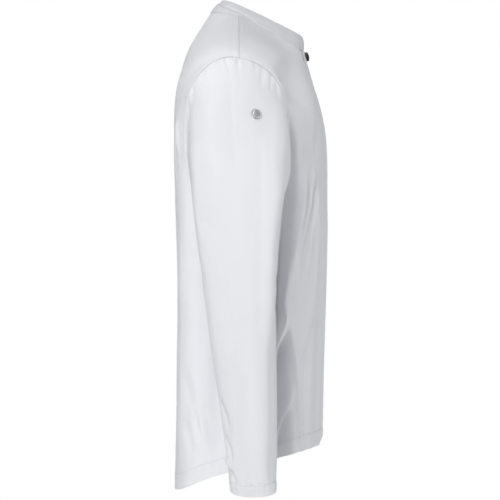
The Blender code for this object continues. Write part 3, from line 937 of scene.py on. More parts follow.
class NodeSheet:
    """A material's nodes, added one call at a time."""

    def __init__(self, name: str) -> None:
        """Starts a material that holds a Principled shader and its output.

        Args:
            name: the material's name.
        """
        self.material = bpy.data.materials.new(name)
        self.material.use_nodes = True
        self.tree = self.material.node_tree
        self.shader = self.tree.nodes["Principled BSDF"]

    def settle(self, **values: float) -> None:
        """Sets the shader's own sockets, by names that have underscores for spaces."""
        for name, value in values.items():
            self.shader.inputs[name.replace("_", " ")].default_value = value

    def add(self, kind: str, **settings: object) -> bpy.types.Node:
        """Adds a node.

        Args:
            kind: the node's kind.
            settings: its settings by name.

        Returns:
            The node.
        """
        node = self.tree.nodes.new(kind)
        for name, value in settings.items():
            setattr(node, name, value)
        return node

    def feed(self, socket: Socket, source: object) -> None:
        """Fills a socket.

        Args:
            socket: the socket to fill.
            source: another socket to link it to, or a value to set it to.
        """
        if isinstance(source, Socket):
            self.tree.links.new(source, socket)
        else:
            socket.default_value = source

    def math(self, operation: str, *terms: object) -> Socket:
        """Reckons with numbers or sockets.

        Args:
            operation: what is done with them.
            terms: the numbers or sockets, in the order of the node's inputs.

        Returns:
            The result.
        """
        node = self.add("ShaderNodeMath", operation=operation)
        for socket, term in zip(node.inputs, terms):
            self.feed(socket, term)
        return node.outputs[0]

    def in_space(self) -> Socket:
        """Places in metres."""
        return self.add("ShaderNodeTexCoord").outputs["Object"]

    def noise(self, place: Socket, scale: float, detail: float = 2.0,
              stretch: Triple = (1.0, 1.0, 1.0)) -> Socket:
        """Noise over a place.

        Args:
            place: coordinates in metres.
            scale: how many grains go to a metre.
            detail: how many finer layers it has.
            stretch: how many times finer it is along each axis.

        Returns:
            The noise's factor.
        """
        mapping = self.add("ShaderNodeMapping")
        mapping.inputs["Scale"].default_value = stretch
        self.feed(mapping.inputs["Vector"], place)
        node = self.add("ShaderNodeTexNoise")
        self.feed(node.inputs["Vector"], mapping.outputs[0])
        node.inputs["Scale"].default_value = scale
        node.inputs["Detail"].default_value = detail
        return node.outputs["Fac"]

    def bump(self, height: Socket, distance: float,
             under: Socket | None = None) -> Socket:
        """Bump from a height.

        Args:
            height: the height, from 0 to 1.
            distance: how far 1 stands up, in metres.
            under: another bump that this one goes over.

        Returns:
            The bumped directions.
        """
        node = self.add("ShaderNodeBump")
        node.inputs["Distance"].default_value = distance
        self.feed(node.inputs["Height"], height)
        if under is not None:
            self.feed(node.inputs["Normal"], under)
        return node.outputs[0]

    def paint(self, share: object, first: Colour, second: Colour) -> None:
        """Gives the shader a colour between two.

        Args:
            share: how far the colour is from the first to the second.
            first: the first colour.
            second: the second colour.
        """
        node = self.add("ShaderNodeMix", data_type="RGBA")
        # the node also has inputs for numbers and directions, before and after its colours
        for place, source in ((0, share), (6, first), (7, second)):
            self.feed(node.inputs[place], source)
        self.feed(self.shader.inputs["Base Color"], node.outputs[2])


@dataclass(frozen=True)
class ClothFinish:
    """Fine white twill: diagonal ribs of thread, faint unevenness, puckers beside seams, and painted
    shade along seams and stitched lines.
    """

    name: str = "white_twill"
    colour: Colour = (0.845, 0.852, 0.878, 1.0)
    shade: Colour = (0.805, 0.815, 0.850, 1.0)
    roughness: float = 0.88
    sheen: float = 0.12
    sheen_roughness: float = 0.5
    specular: float = 0.25
    rib: float = 0.00062
    thread: float = 0.00034
    rib_depth: float = 0.00005
    slub_grains: float = 420.0
    slub_depth: float = 0.00008
    crumple_grains: float = 26.0
    crumple_depth: float = 0.0009
    pucker_grains: float = 170.0
    pucker_depth: float = 0.0012
    patch_grains: float = 7.0
    patch_tone: float = 0.4
    slub_tone: float = 0.25
    # how far the colour is painted darker beside seams and stitched lines: painted shade
    seam_shade_tone: float = 0.175

    def make(self) -> bpy.types.Material:
        """Makes the material.

        Returns:
            The material. Its ribs are sines of the flat cloth's diagonal, its threads are sines
            of the cloth's width, and each kind of noise has so many grains to a metre. Beside seams
            and stitched lines its colour is painted darker, towards the shade colour, as painted
            shade.
        """
        sheet = NodeSheet(self.name)
        sheet.settle(Roughness=self.roughness, Sheen_Weight=self.sheen,
                     Sheen_Roughness=self.sheen_roughness, Specular_IOR_Level=self.specular)
        on_cloth = sheet.add("ShaderNodeUVMap", uv_map="cut_cloth").outputs[0]
        in_space = sheet.in_space()
        near = sheet.add("ShaderNodeAttribute", attribute_name="seam_pucker_and_shade").outputs["Fac"]
        split = sheet.add("ShaderNodeSeparateXYZ")
        sheet.feed(split.inputs[0], on_cloth)
        across, down = split.outputs[0], split.outputs[1]
        diagonal = sheet.math("ADD", across, down)
        rib = sheet.math("SINE", sheet.math("MULTIPLY", diagonal, FULL_TURN / self.rib))
        thread = sheet.math("SINE", sheet.math("MULTIPLY", across, FULL_TURN / self.thread))
        weave = sheet.math("MULTIPLY_ADD", thread, 0.5, rib)
        slub = sheet.noise(on_cloth, self.slub_grains, 3.0, (1.0, 0.12, 1.0))
        crumple = sheet.noise(in_space, self.crumple_grains, 3.0, (1.0, 1.0, 0.6))
        pucker = sheet.math("MULTIPLY", sheet.noise(in_space, self.pucker_grains, 1.0), near)
        patches = sheet.noise(in_space, self.patch_grains, 4.0)
        level = sheet.bump(weave, self.rib_depth)
        level = sheet.bump(slub, self.slub_depth, level)
        level = sheet.bump(crumple, self.crumple_depth, level)
        level = sheet.bump(pucker, self.pucker_depth, level)
        sheet.feed(sheet.shader.inputs["Normal"], level)
        # painted shade: the colour darkens beside seams and stitched lines, by the seam mask
        share = sheet.math("MULTIPLY", near, self.seam_shade_tone)
        share = sheet.math("MULTIPLY_ADD", slub, self.slub_tone, share)
        share = sheet.math("MULTIPLY_ADD", patches, self.patch_tone, share)
        sheet.paint(share, self.colour, self.shade)
        return sheet.material


@dataclass(frozen=True)
class ThreadFinish:
    """White sewing thread with a twist along each stitch."""

    name: str = "white_thread"
    colour: Colour = (0.73, 0.76, 0.84, 1.0)
    shade: Colour = (0.60, 0.64, 0.74, 1.0)
    roughness: float = 0.7
    sheen: float = 0.2
    twist_grains: float = 2400.0
    twist_depth: float = 0.0001

    def make(self) -> bpy.types.Material:
        """Makes the material.

        Returns:
            The material. Its twist is one fine noise in the bump and the colour.
        """
        sheet = NodeSheet(self.name)
        sheet.settle(Roughness=self.roughness, Sheen_Weight=self.sheen)
        twist = sheet.noise(sheet.in_space(), self.twist_grains, 1.0)
        sheet.feed(sheet.shader.inputs["Normal"], sheet.bump(twist, self.twist_depth))
        sheet.paint(twist, self.colour, self.shade)
        return sheet.material


@dataclass(frozen=True)
class MetalFinish:
    """Worn metal or enamel: fine scratches, and grime that dulls it in patches."""

    name: str
    colour: Colour
    shade: Colour
    metallic: float
    gloss: float
    dull: float
    scratch_grains: float = 900.0
    scratch_depth: float = 0.00002
    patch_grains: float = 260.0

    def make(self) -> bpy.types.Material:
        """Makes the material.

        Returns:
            The material. Its roughness runs from gloss to dull, and its colour with it, by one
            noise, and its scratches are another.
        """
        sheet = NodeSheet(self.name)
        sheet.settle(Metallic=self.metallic)
        in_space = sheet.in_space()
        scratches = sheet.noise(in_space, self.scratch_grains, 3.0, (1.0, 1.0, 8.0))
        patches = sheet.noise(in_space, self.patch_grains, 3.0)
        spread = sheet.add("ShaderNodeMapRange")
        sheet.feed(spread.inputs["Value"], patches)
        spread.inputs["To Min"].default_value = self.gloss
        spread.inputs["To Max"].default_value = self.dull
        sheet.feed(sheet.shader.inputs["Roughness"], spread.outputs[0])
        sheet.feed(sheet.shader.inputs["Normal"], sheet.bump(scratches, self.scratch_depth))
        sheet.paint(patches, self.colour, self.shade)
        return sheet.material


# the collar's cloth: the same white twill in a darker colour, painted shade
SHADED_BAND_FINISH = ClothFinish("white_twill_band_painted_shade", (0.735, 0.745, 0.775, 1.0), (0.68, 0.69, 0.725, 1.0))
STUD_FINISH = MetalFinish("black_enamel", (0.010, 0.010, 0.012, 1.0), (0.022, 0.022, 0.026, 1.0),
                          metallic=0.0, gloss=0.3, dull=0.42)
BADGE_FINISH = MetalFinish("satin_silver", (0.78, 0.79, 0.82, 1.0), (0.58, 0.59, 0.63, 1.0),
                           metallic=0.85, gloss=0.38, dull=0.6)


# ---- stitches

@dataclass(frozen=True)
class Track:
    """A line on a cloth: points in metres and the directions out of the cloth there."""

    points: Array
    outward: Array

    @classmethod
    def where(cls, cloth: Cloth, measure: Array, value: float, keep: slice = slice(None),
              sideways: bool = False) -> "Track":
        """Where a measure reaches a value.

        Args:
            cloth: the sheet.
            measure: one number for each point of the grid, rising down each column.
            value: the value to reach.
            keep: which columns count.
            sideways: whether it rises along each row instead, and keep says which rows count.

        Returns:
            The line across the columns or the rows. Each of its points is on the straight line
            from the last of the grid's points short of the value to the next.
        """
        grids = [cloth.surface(), cloth.facing(), measure]
        if sideways:
            grids = [grid.swapaxes(0, 1) for grid in grids]
        surface, facing, measure = (grid[:, keep] for grid in grids)
        below = np.clip(np.argmax(measure >= value, axis=0), 1, len(measure) - 1)
        column = np.arange(measure.shape[1])
        low, high = measure[below - 1, column], measure[below, column]
        part = np.clip((value - low) / np.maximum(high - low, 1e-9), 0, 1)[:, None]
        points, outward = (grid[below - 1, column] * (1 - part) + grid[below, column] * part
                           for grid in (surface, facing))
        return cls(points, unit(outward))

    @classmethod
    def hem(cls, cloth: Cloth, to_hem: Array, depth: float) -> "Track":
        """The line that holds a hem, at its depth above the cloth's end."""
        return cls.where(cloth, -to_hem, -depth)

    def mirrored(self) -> "Track":
        """The line on the wearer's other side."""
        return Track(self.points * MIRROR, self.outward * MIRROR)

    def closed(self) -> "Track":
        """The line with its first point again at its end."""
        return Track(*(np.vstack([row, row[:1]]) for row in (self.points, self.outward)))


@dataclass(frozen=True)
class Stitching:
    """A lockstitch: short rounded lengths of thread, each dipping into the cloth at its ends."""

    pitch: float = 3.0
    length: float = 2.4
    radius: float = 0.32
    sides: int = 6
    stations: tuple[float, ...] = (0.0, 0.12, 0.5, 0.88, 1.0)
    girth: tuple[float, ...] = (0.15, 0.75, 1.0, 0.75, 0.15)
    lift: tuple[float, ...] = (-0.6, 0.1, 0.5, 0.1, -0.6)

    def points(self, track: Track) -> Array:
        """The stitches of one line.

        Args:
            track: the line.

        Returns:
            Points in metres, an array of stitches, stations along each and sides round it.
        """
        run = run_down(track.points) / MM
        starts = np.arange(0.5 * self.pitch, run[-1] - self.length, self.pitch)
        spots = starts[:, None] + np.array(self.stations) * self.length

        def read(values: Array) -> Array:
            """A row of points or directions, read at the spots."""
            return np.stack([np.interp(spots, run, axis) for axis in values.T], axis=-1)

        centre, out = read(track.points), unit(read(track.outward))
        along = unit(centre[:, -1:] - centre[:, :1])
        aside = unit(np.cross(along, out))
        radius = (self.radius * MM * np.array(self.girth))[:, None, None]
        centre = centre + out * (self.radius * MM * np.array(self.lift))[:, None]
        angle = np.linspace(0, FULL_TURN, self.sides, endpoint=False)[:, None]
        ring = np.cos(angle) * aside[:, :, None] + np.sin(angle) * out[:, :, None]
        return centre[:, :, None] + radius * ring

    def sew(self, name: str, tracks: list[Track]) -> Piece:
        """All the stitches of some lines as one object.

        Args:
            name: the object's name.
            tracks: the lines.

        Returns:
            The object. A stitch's two ends are closed by its rings' first and last sides.
        """
        grids = np.concatenate([self.points(track) for track in tracks])
        count, stations, sides = grids.shape[:3]
        number, _ = grid_quads(stations, sides, True)
        step = np.arange(1, sides // 2 + 1, 2)
        end = np.stack([0 * step, step, step + 1, (step + 2) % sides], 1)
        one = np.concatenate([number, end[:, ::-1], end + (stations - 1) * sides])
        start = (np.arange(count) * stations * sides)[:, None, None]
        quads = (one[None] + start).reshape(-1, 4)
        return mesh_piece(name, grids.reshape(-1, 3), quads, sharp=180.0)


# ---- pieces

@dataclass(frozen=True)
class CutSize:
    """A piece's cut cloth laid flat, in metres and square metres."""

    width: float
    length: float
    area: float


@dataclass
class Wardrobe:
    """What the pieces share: the forms, the finishes and the reporting."""

    trunk: TrunkForm = field(default_factory=TrunkForm)
    sleeve: SleeveForm = field(default_factory=SleeveForm)
    wall: float = 1.0
    seam_gap: float = 0.3

    def __post_init__(self) -> None:
        """Makes the armhole and the materials."""
        self.armhole = Armhole(self.trunk)
        self.cloth_finish = ClothFinish().make()
        self.shaded_band_finish = SHADED_BAND_FINISH.make()
        self.thread_finish = ThreadFinish().make()

    @property
    def half_gap(self) -> float:
        """Half of a seam's gap, in metres."""
        return 0.5 * self.seam_gap * MM

    def hand_in(self, piece: Piece, material: bpy.types.Material, slot: Slot,
                *nodes: str) -> Piece:
        """Dresses a piece, fixes it to the frame and reports it.

        Args:
            piece: the object.
            material: its material.
            slot: not used.
            nodes: the CAD nodes that it stands for.

        Returns:
            The same object.
        """
        piece.data.materials.append(material)
        if nodes:
            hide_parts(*nodes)
        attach(piece, "root")
        self.report(piece, *nodes)
        return piece

    @staticmethod
    def report(piece: Piece, *nodes: str) -> None:
        """Logs a piece's faces and size, and how far it reaches past its CAD solid's box.

        Args:
            piece: the object.
            nodes: the CAD nodes that it stands for.
        """
        corners = np.array([vertex[:] for vertex in piece.bound_box]) / MM
        low, high = corners.min(0), corners.max(0)
        grown = ""
        if nodes:
            cad_low, cad_high = (np.array(corner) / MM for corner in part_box(nodes[0]))
            past = max((cad_low - low).max(), (high - cad_high).max())
            grown = f", past its solid by {past:.1f} mm"
        LOG.info("%s: %d faces, %s mm%s", piece.name, len(piece.data.polygons),
                 " x ".join(f"{side:.0f}" for side in high - low), grown)


@dataclass
class TrunkFolds:
    """The relief of the whole trunk, which every panel on it shares, so that seams match.

    It fades away at the neck and round the armholes.
    """

    form: TrunkForm
    armhole: Armhole
    front_right: tuple[Crease, ...] = FRONT_RIGHT_CREASES
    front_left: tuple[Crease, ...] = FRONT_LEFT_CREASES
    back: tuple[Crease, ...] = BACK_CREASES
    rumple: Rumple = Rumple(seed=11, height=0.45, shortest=34, longest=120)
    neck_levels: float = 30.0 / 26.0
    middle_calm: float = 26.0
    armhole_calm: float = 11.0
    armhole_count: int = 300

    def __post_init__(self) -> None:
        """Keeps the seams of both armholes."""
        seam = self.armhole.seam(self.armhole_count).points
        self.armhole_lines = np.concatenate([seam, seam * MIRROR])

    def armhole_distance(self, points: Array) -> Array:
        """Millimetres from each point to the nearer armhole."""
        return reach_to(points, self.armhole_lines) / MM

    def relief(self, points: Array, level: Array, turn: Array) -> Array:
        """How far the cloth stands off the smooth form.

        Args:
            points: places on the form, in metres.
            level: their levels.
            turn: their turns.

        Returns:
            Millimetres: all the creases together, with a rumple that fades at the centre back,
            where the measure round the trunk changes side.
        """
        around = self.form.round_from_front(turn)
        from_back = np.where(around < 0, -1.0, 1.0) * (self.form.half_round - np.abs(around))
        down = -points[..., 2] / MM
        total = self.rumple.relief(around, down) * (1 - hill(from_back, self.middle_calm))
        for creases, across in ((self.front_right, -around), (self.front_left, around),
                                (self.back, from_back)):
            for crease in creases:
                total += crease.relief(across, down)
        calm = ease(level / self.neck_levels)
        return total * calm * (1 - hill(self.armhole_distance(points), self.armhole_calm))


@dataclass
class Panel:
    """A body panel: its rows and columns on the trunk, its seams and its turned hem."""

    wardrobe: Wardrobe
    folds: TrunkFolds
    rows_above: int = 54
    rows_arm: int = 78
    rows_below: int = 96
    rows_hem: int = 26
    hem_start: float = 13.45
    arm_spread: float = 0.6
    hem_depth: float = 22.0
    seam_dip: float = 0.9
    seam_width: float = 1.4
    pucker_and_shade_reach: float = 9.0
    neck_dip: float = 0.1
    neck_width: float = 1.0
    neck_fade: float = 3.0
    neck_crowd: float = 1.35

    def edge_rows(self, ahead: bool) -> tuple[Array, Array, Array]:
        """The rows of a panel.

        Args:
            ahead: whether the panel is a front.

        Returns:
            Levels at the panel's centre, levels at its side edge, and that edge's turns.
        """
        form = self.wardrobe.trunk
        top, bottom = form.level_of("arm_top"), form.level_of("underarm")
        arcs = np.linspace(0.0, math.pi, self.rows_arm + 1)
        level, turn = self.wardrobe.armhole.edge(arcs, ahead)

        above = np.linspace(0.0, 1.0, self.rows_above + 1)[:-1] ** self.neck_crowd
        high, low = top - self.arm_spread, bottom + self.arm_spread
        straight = np.linspace(high, low, self.rows_arm + 1)
        ways = ((high, straight, low), (top, level, bottom))
        centre, edge = (np.concatenate([first * above, arm, joined(
            (last, self.hem_start, self.rows_below),
            (self.hem_start, form.hem_level, self.rows_hem))[1:]]) for first, arm, last in ways)
        side = np.full(len(centre), QUARTER)
        side[self.rows_above:self.rows_above + self.rows_arm + 1] = turn
        return centre, edge, side

    @staticmethod
    def bend_rows(centre: Array, edge: Array, share: Array) -> Array:
        """Levels that run from the panel's centre to its side edge by the share squared."""
        return centre[:, None] + (edge - centre)[:, None] * share * share

    def lay(self, turns: Array, levels: Array) -> Cloth:
        """Lays a grid on the trunk.

        Args:
            turns: each point's turn.
            levels: each point's level.

        Returns:
            The cloth, with its places on the flat cloth and its creases.
        """
        form = self.wardrobe.trunk
        points, outward = form.point(levels, turns), form.outward(levels, turns)
        flat = np.stack([form.round_from_front(turns) * MM, -run_down(points)], axis=-1)
        cloth = Cloth(points, outward, flat)
        cloth.rise = self.folds.relief(points, levels, turns) * MM
        return cloth

    def part_edges(self, cloth: Cloth, sides: tuple[str, ...]) -> None:
        """Moves edges half a seam's gap into the piece.

        Args:
            cloth: the panel's grid.
            sides: which edges: top, first or last.
        """
        half = self.wardrobe.half_gap
        picks = {"top": ((0, slice(None)), (1, slice(None))),
                 "first": ((slice(None), 0), (slice(None), 1)),
                 "last": ((slice(None), -1), (slice(None), -2))}
        for side in sides:
            edge, inside = picks[side]
            cloth.points[edge] += half * unit(cloth.points[inside] - cloth.points[edge])

    def meet_armhole(self, cloth: Cloth, column: int, side: Side, ahead: bool) -> None:
        """Puts a panel's armhole rows on the seam's mitre.

        Args:
            cloth: the panel's grid.
            column: the column at the armhole.
            side: which armhole.
            ahead: whether the panel is a front.
        """
        seam = self.wardrobe.armhole.seam(2 * self.rows_arm)
        flip = np.array([side.value, 1.0, 1.0])
        steps = np.arange(self.rows_arm + 1)
        places = steps if ahead else -steps
        rows = self.rows_above + steps
        apart = self.wardrobe.half_gap * seam.across[places]
        inner = slice(1, -1)
        cloth.points[rows[inner], column] = (seam.points[places] - apart)[inner] * flip
        for end in (0, -1):
            cloth.points[rows[end], column] -= apart[end] * flip
        cloth.mitre[rows, column] = seam.mitre[places] * flip

    def finish_edges(self, cloth: Cloth, ahead: bool, *seams: Array) -> Array:
        """Sinks the cloth into its seams and turns up its hem.

        Args:
            cloth: the panel's grid.
            ahead: whether the panel is a front.
            seams: the points of each edge below the neck that is sewn to another piece.

        Returns:
            Millimetres of cloth from each point down to the hem.
        """
        to_neck = reach_to(cloth.points, cloth.points[0]) / MM
        to_seam = reach_to(cloth.points, np.concatenate(seams)) / MM
        # nearness to seams and neck: puckers, and painted shade in the colour
        near = hill(np.minimum(to_seam, to_neck), self.pucker_and_shade_reach)
        cloth.seam_pucker_and_shade = np.maximum(cloth.seam_pucker_and_shade, near)
        rear = RearSeam()
        arc = (np.arange(len(cloth.points)) - self.rows_above) * 180.0 / self.rows_arm
        behind = (arc > 0) & (arc < 180) & (not ahead)
        depth = np.where(behind, rear.depth(-arc), 1.0)[:, None]
        seam = self.seam_dip * depth * hill(to_seam, self.seam_width)
        seam = seam * (1 - hill(to_neck, self.neck_fade))
        neck = self.neck_dip * hill(to_neck, self.neck_width)
        cloth.rise += (rear.fill(depth, to_seam) - seam - neck) * MM
        down = run_down(cloth.points) / MM
        to_hem = down[-1] - down
        HemBand(self.hem_depth).shape(cloth, to_hem, cloth.flat[:, :, 0] / MM)
        return to_hem


@dataclass
class FrontPanel(Panel):
    """A panel at the front opening, which passes the centre and is rounded at its foot."""

    overlap: float = 18.0
    corner_width: float = 42.0
    corner_height: float = 15.0
    corner_turn: float = 3.4
    corner_lift: float = 4.6

    def past_centre(self, centre: Array) -> Array:
        """The turn that lies the overlap past the centre line, for each row."""
        ring = self.wardrobe.trunk.ring(centre)
        return np.arcsin(fuller_share(self.overlap / ring.half_width, ring.front_full))

    def round_corner(self, cloth: Cloth, to_hem: Array) -> None:
        """Rounds the foot of the opening: the hem lifts and turns in by a hill at the centre.

        Args:
            cloth: the panel's grid.
            to_hem: millimetres of cloth from each point down to the hem.
        """
        near = hill(cloth.points[..., 0] / MM, self.corner_width)
        near = near * ease(1 - to_hem / self.corner_height) ** 2
        cloth.points[..., 1] += self.corner_turn * near * MM
        cloth.points[..., 2] += self.corner_lift * near * MM


@dataclass(frozen=True)
class HemBand:
    """A hem turned up and stitched: thicker cloth, a groove at the stitches, and puckers."""

    depth: float
    swell: float = 0.5
    swell_fade: float = 1.5
    groove: float = 0.75
    groove_width: float = 1.5
    pucker: float = 0.45
    pucker_length: float = 17.0
    pucker_lean: float = 0.12
    wander: tuple[tuple[float, float], ...] = ((5.0, 31.0), (3.0, 12.3))
    uneven: float = 0.4
    uneven_length: float = 43.0
    reach_within: float = 0.6
    reach_above: float = 9.0
    second_layer: float = 0.7

    def shape(self, cloth: Cloth, to_hem: Array, around: Array) -> None:
        """Shapes a grid's hem.

        Args:
            cloth: the grid.
            to_hem: millimetres of cloth from each point down to its hem.
            around: millimetres round the hem. The puckers are a sine of it, shifted by the
                slower sines of wander, each with a height and a length, and made uneven.
        """
        inside = ease((self.depth - to_hem) / self.swell_fade + 0.5)
        from_stitch = to_hem - self.depth
        wander = around + sum(height * np.sin(around / length) for height, length in self.wander)
        ripple = np.sin(FULL_TURN * wander / self.pucker_length + to_hem * self.pucker_lean)
        strength = 1 - self.uneven + self.uneven * np.sin(around / self.uneven_length + 1.0)
        reach = np.where(to_hem < self.depth, self.reach_within * self.depth, self.reach_above)
        rise = (self.swell * inside - self.groove * hill(from_stitch, self.groove_width)
                + self.pucker * ripple * strength * hill(from_stitch, reach))
        cloth.rise = cloth.rise + rise * MM
        # painted shade and puckers along the hem's stitched groove
        cloth.seam_pucker_and_shade = np.maximum(cloth.seam_pucker_and_shade, 0.9 * hill(from_stitch, 6.0))

    def wall(self, name: str, cloth: Cloth, to_hem: Array, thick: float) -> Piece:
        """A wall of cloth whose layers are thick millimetres each, with a second in the hem."""
        layers = 1 + self.second_layer * ease(self.depth - to_hem + 0.5)
        return wall_piece(name, cloth, thick * layers)


@dataclass
class Back(Panel):
    """The back, in one piece from side seam to side seam, with the shoulder seams' topstitching."""

    columns: int = 176
    crowd: float = 0.55
    cut: CutSize = CutSize(0.57, 0.79, 0.37)
    strip_height: float = 0.8
    strip_width: float = 7.4
    strip_edge: float = 1.2
    strip_rows: float = 3.0
    topstitch: tuple[float, ...] = (1.6, 6.2)
    groove_depth: float = 0.6
    groove_width: float = 0.8

    def build(self) -> Piece:
        """Builds the back.

        Returns:
            The piece.
        """
        centre, edge, side = self.edge_rows(ahead=False)
        share = 2 * crowded(self.columns + 1, self.crowd)[None, :] - 1
        turns = math.pi + (math.pi - side)[:, None] * share
        wrapped = np.where(turns > math.pi, turns - FULL_TURN, turns)
        self.cloth = self.lay(wrapped, self.bend_rows(centre, edge, share))
        form = self.wardrobe.trunk
        around = form.round_from_front(wrapped)
        self.cloth.flat[..., 0] = np.where(turns > math.pi, around + 2 * form.half_round, around) * MM
        self.part_edges(self.cloth, ("top", "first", "last"))
        self.meet_armhole(self.cloth, 0, Side.LEFT, ahead=False)
        self.meet_armhole(self.cloth, -1, Side.RIGHT, ahead=False)
        points = self.cloth.points
        self.raise_strip()
        self.to_hem = self.finish_edges(self.cloth, False, points[:, 0], points[:, -1])
        return HemBand(self.hem_depth).wall("back_cloth", self.cloth, self.to_hem,
                                            self.wardrobe.wall)

    @staticmethod
    def shoulder_reach(cloth: Cloth) -> Array:
        """Millimetres along each row from its first point, at the shoulder or the side."""
        return run_down(cloth.points.swapaxes(0, 1)).swapaxes(0, 1) / MM

    def raise_strip(self) -> None:
        """Raises the strip where each shoulder seam's allowance is stitched down.

        It is a flat band with soft edges, less a hill along each line of stitches.
        """
        row = np.arange(self.cloth.rise.shape[0])[:, None]
        fade = ease((self.rows_above - row) / self.strip_rows)
        for reach in (self.shoulder_reach(self.cloth),
                      self.shoulder_reach(self.cloth.mirrored())[:, ::-1]):
            band = ease((self.strip_width - reach) / self.strip_edge + 0.5)
            groove = sum(hill(reach - line, self.groove_width) for line in self.topstitch)
            rise = self.strip_height * band - self.groove_depth * groove
            self.cloth.rise += rise * fade * MM
            # painted shade and puckers along the strip's edge
            near = 0.5 * fade * hill(reach - self.strip_width, 4.0)
            self.cloth.seam_pucker_and_shade = np.maximum(self.cloth.seam_pucker_and_shade, near)

    def tracks(self) -> list[Track]:
        """The stitched lines.

        Returns:
            The hem's line, and two beside each shoulder seam.
        """
        lines = [Track.hem(self.cloth, self.to_hem, self.hem_depth)]
        rows = slice(1, self.rows_above - 2)
        other = self.cloth.mirrored()
        for line in self.topstitch:
            lines.append(Track.where(self.cloth, self.shoulder_reach(self.cloth), line, rows, True))
            far = Track.where(other, self.shoulder_reach(other), line, rows, True)
            lines.append(far.mirrored())
        return lines


@dataclass
class Front(FrontPanel):
    """One front, from past the centre to its side seam and armhole."""

    side: Side = Side.LEFT
    columns: int = 156
    crowd: float = 0.3
    sag: float = 8.0
    sag_middle: float = 208.0
    sag_width: float = 22.0
    sag_height: float = 150.0
    tuck_start: float = 19.5
    tuck_end: float = 28.0
    tuck_depth: float = 1.5
    puff: float = 1.6
    puff_middle: float = 30.0
    puff_width: float = 7.0
    puff_top: float = 78.0
    puff_fade: float = 36.0
    cut: CutSize = CutSize(0.34, 0.72, 0.19)

    def build(self) -> Piece:
        """Builds the front.

        Returns:
            The piece.
        """
        centre, edge, side_edge = self.edge_rows(ahead=True)
        past = self.past_centre(centre)[:, None]
        turns = -past + (side_edge[:, None] + past) * crowded(self.columns + 1, self.crowd)[None, :]
        share = np.clip(turns / side_edge[:, None], 0.0, 1.0)
        levels = self.bend_rows(centre, edge, share)
        if self.side is Side.RIGHT:
            self.cloth = self.lay(-turns[:, ::-1], levels[:, ::-1])
            self.tuck_under()
            outer, outer_name = 0, "first"
        else:
            self.cloth = self.lay(turns, levels)
            outer, outer_name = -1, "last"
        self.part_edges(self.cloth, ("top", outer_name))
        self.meet_armhole(self.cloth, outer, self.side, ahead=True)
        points = self.cloth.points
        self.to_hem = self.finish_edges(self.cloth, True, points[:, outer])
        self.round_corner(self.cloth, self.to_hem)
        self.sag_at_side()
        return HemBand(self.hem_depth).wall(f"front_{self.side.word}_cloth", self.cloth,
                                            self.to_hem, self.wardrobe.wall)

    def tuck_under(self) -> None:
        """Sinks the right front beside the centre, and puffs it just before it goes under.

        The tuck is a smooth step across the front. The puff is a hill before the step, and it
        fades towards the neck.
        """
        x = self.cloth.points[..., 0] / MM
        down = -self.cloth.points[..., 2] / MM
        tuck = ease((x + self.tuck_end) / (self.tuck_end - self.tuck_start))
        puff = hill(x + self.puff_middle, self.puff_width) * (1 - tuck)
        puff = puff * ease((down - self.puff_top) / self.puff_fade)
        self.cloth.rise += (self.puff * puff - self.tuck_depth * tuck) * MM

    def sag_at_side(self) -> None:
        """Lets the hem hang lower near the side seam: a hill round it, eased in downwards."""
        around = np.abs(self.cloth.flat[..., 0]) / MM
        sag = hill(around - self.sag_middle, self.sag_width)
        sag = sag * ease(1 - self.to_hem / self.sag_height)
        self.cloth.points[..., 2] -= self.sag * sag * MM

    def tracks(self) -> list[Track]:
        """The hem's stitched line."""
        return [Track.hem(self.cloth, self.to_hem, self.hem_depth)]


@dataclass
class Placket(FrontPanel):
    """The folded band down the edge of the left front, stitched along both sides."""

    columns: int = 26
    crowd: float = 0.6
    drop: float = 1.0
    thick: float = 1.2
    edge_round: float = 0.5
    edge_width: float = 0.9
    stitch_inset: float = 3.0
    groove_depth: float = 0.35
    groove_width: float = 0.9
    hem_groove_width: float = 1.2
    ripple: float = 0.16
    ripple_length: float = 2.7
    ripple_wander: float = 2.0
    wander_length: float = 19.0
    ripple_reach: float = 5.0
    cut: CutSize = CutSize(0.046, 0.63, 0.0286)

    def build(self) -> Piece:
        """Builds the band.

        Returns:
            The piece, a sheet lifted off the left front. Its edges are rounded by a hill, its
            stitched lines are grooves, and a sine along its edges ripples them.
        """
        centre, edge, side_edge = self.edge_rows(ahead=True)
        share = 2 * crowded(self.columns + 1, self.crowd)[None, :] - 1
        turns = self.past_centre(centre)[:, None] * share
        share = np.clip(turns / side_edge[:, None], 0.0, 1.0)
        self.cloth = self.lay(turns, self.bend_rows(centre, edge, share))
        self.cloth.points[0] += self.drop * MM * unit(self.cloth.points[1] - self.cloth.points[0])
        half = self.overlap - np.abs(self.wardrobe.trunk.round_from_front(turns))
        to_edge = np.clip(half, 0.0, None)
        down = run_down(self.cloth.points) / MM
        self.to_hem = down[-1] - down
        self.round_corner(self.cloth, self.to_hem)
        grooves = (hill(to_edge - self.stitch_inset, self.groove_width)
                   + hill(self.to_hem - self.hem_depth, self.hem_groove_width))
        rounding = self.edge_round * hill(to_edge, self.edge_width)
        lift = self.wardrobe.seam_gap + self.thick - rounding
        wander = self.ripple_wander * np.sin(down / self.wander_length)
        ripple = np.sin(down / self.ripple_length + wander) * hill(to_edge, self.ripple_reach)
        self.cloth.rise += (lift - self.groove_depth * grooves + self.ripple * ripple) * MM
        # painted shade and puckers beside the stitched lines
        self.cloth.seam_pucker_and_shade = 0.8 * hill(to_edge - self.stitch_inset, 3.0)
        return wall_piece("placket_cloth", self.cloth, self.thick)

    def tracks(self) -> list[Track]:
        """The stitched lines.

        Returns:
            A line beside each edge and one at the hem.
        """
        around = self.cloth.flat[..., 0] / MM
        edge = self.overlap - self.stitch_inset
        lines = [Track.where(self.cloth, around, line, slice(2, -2), True)
                 for line in (-edge, edge)]
        return lines + [Track.hem(self.cloth, self.to_hem, self.hem_depth)]


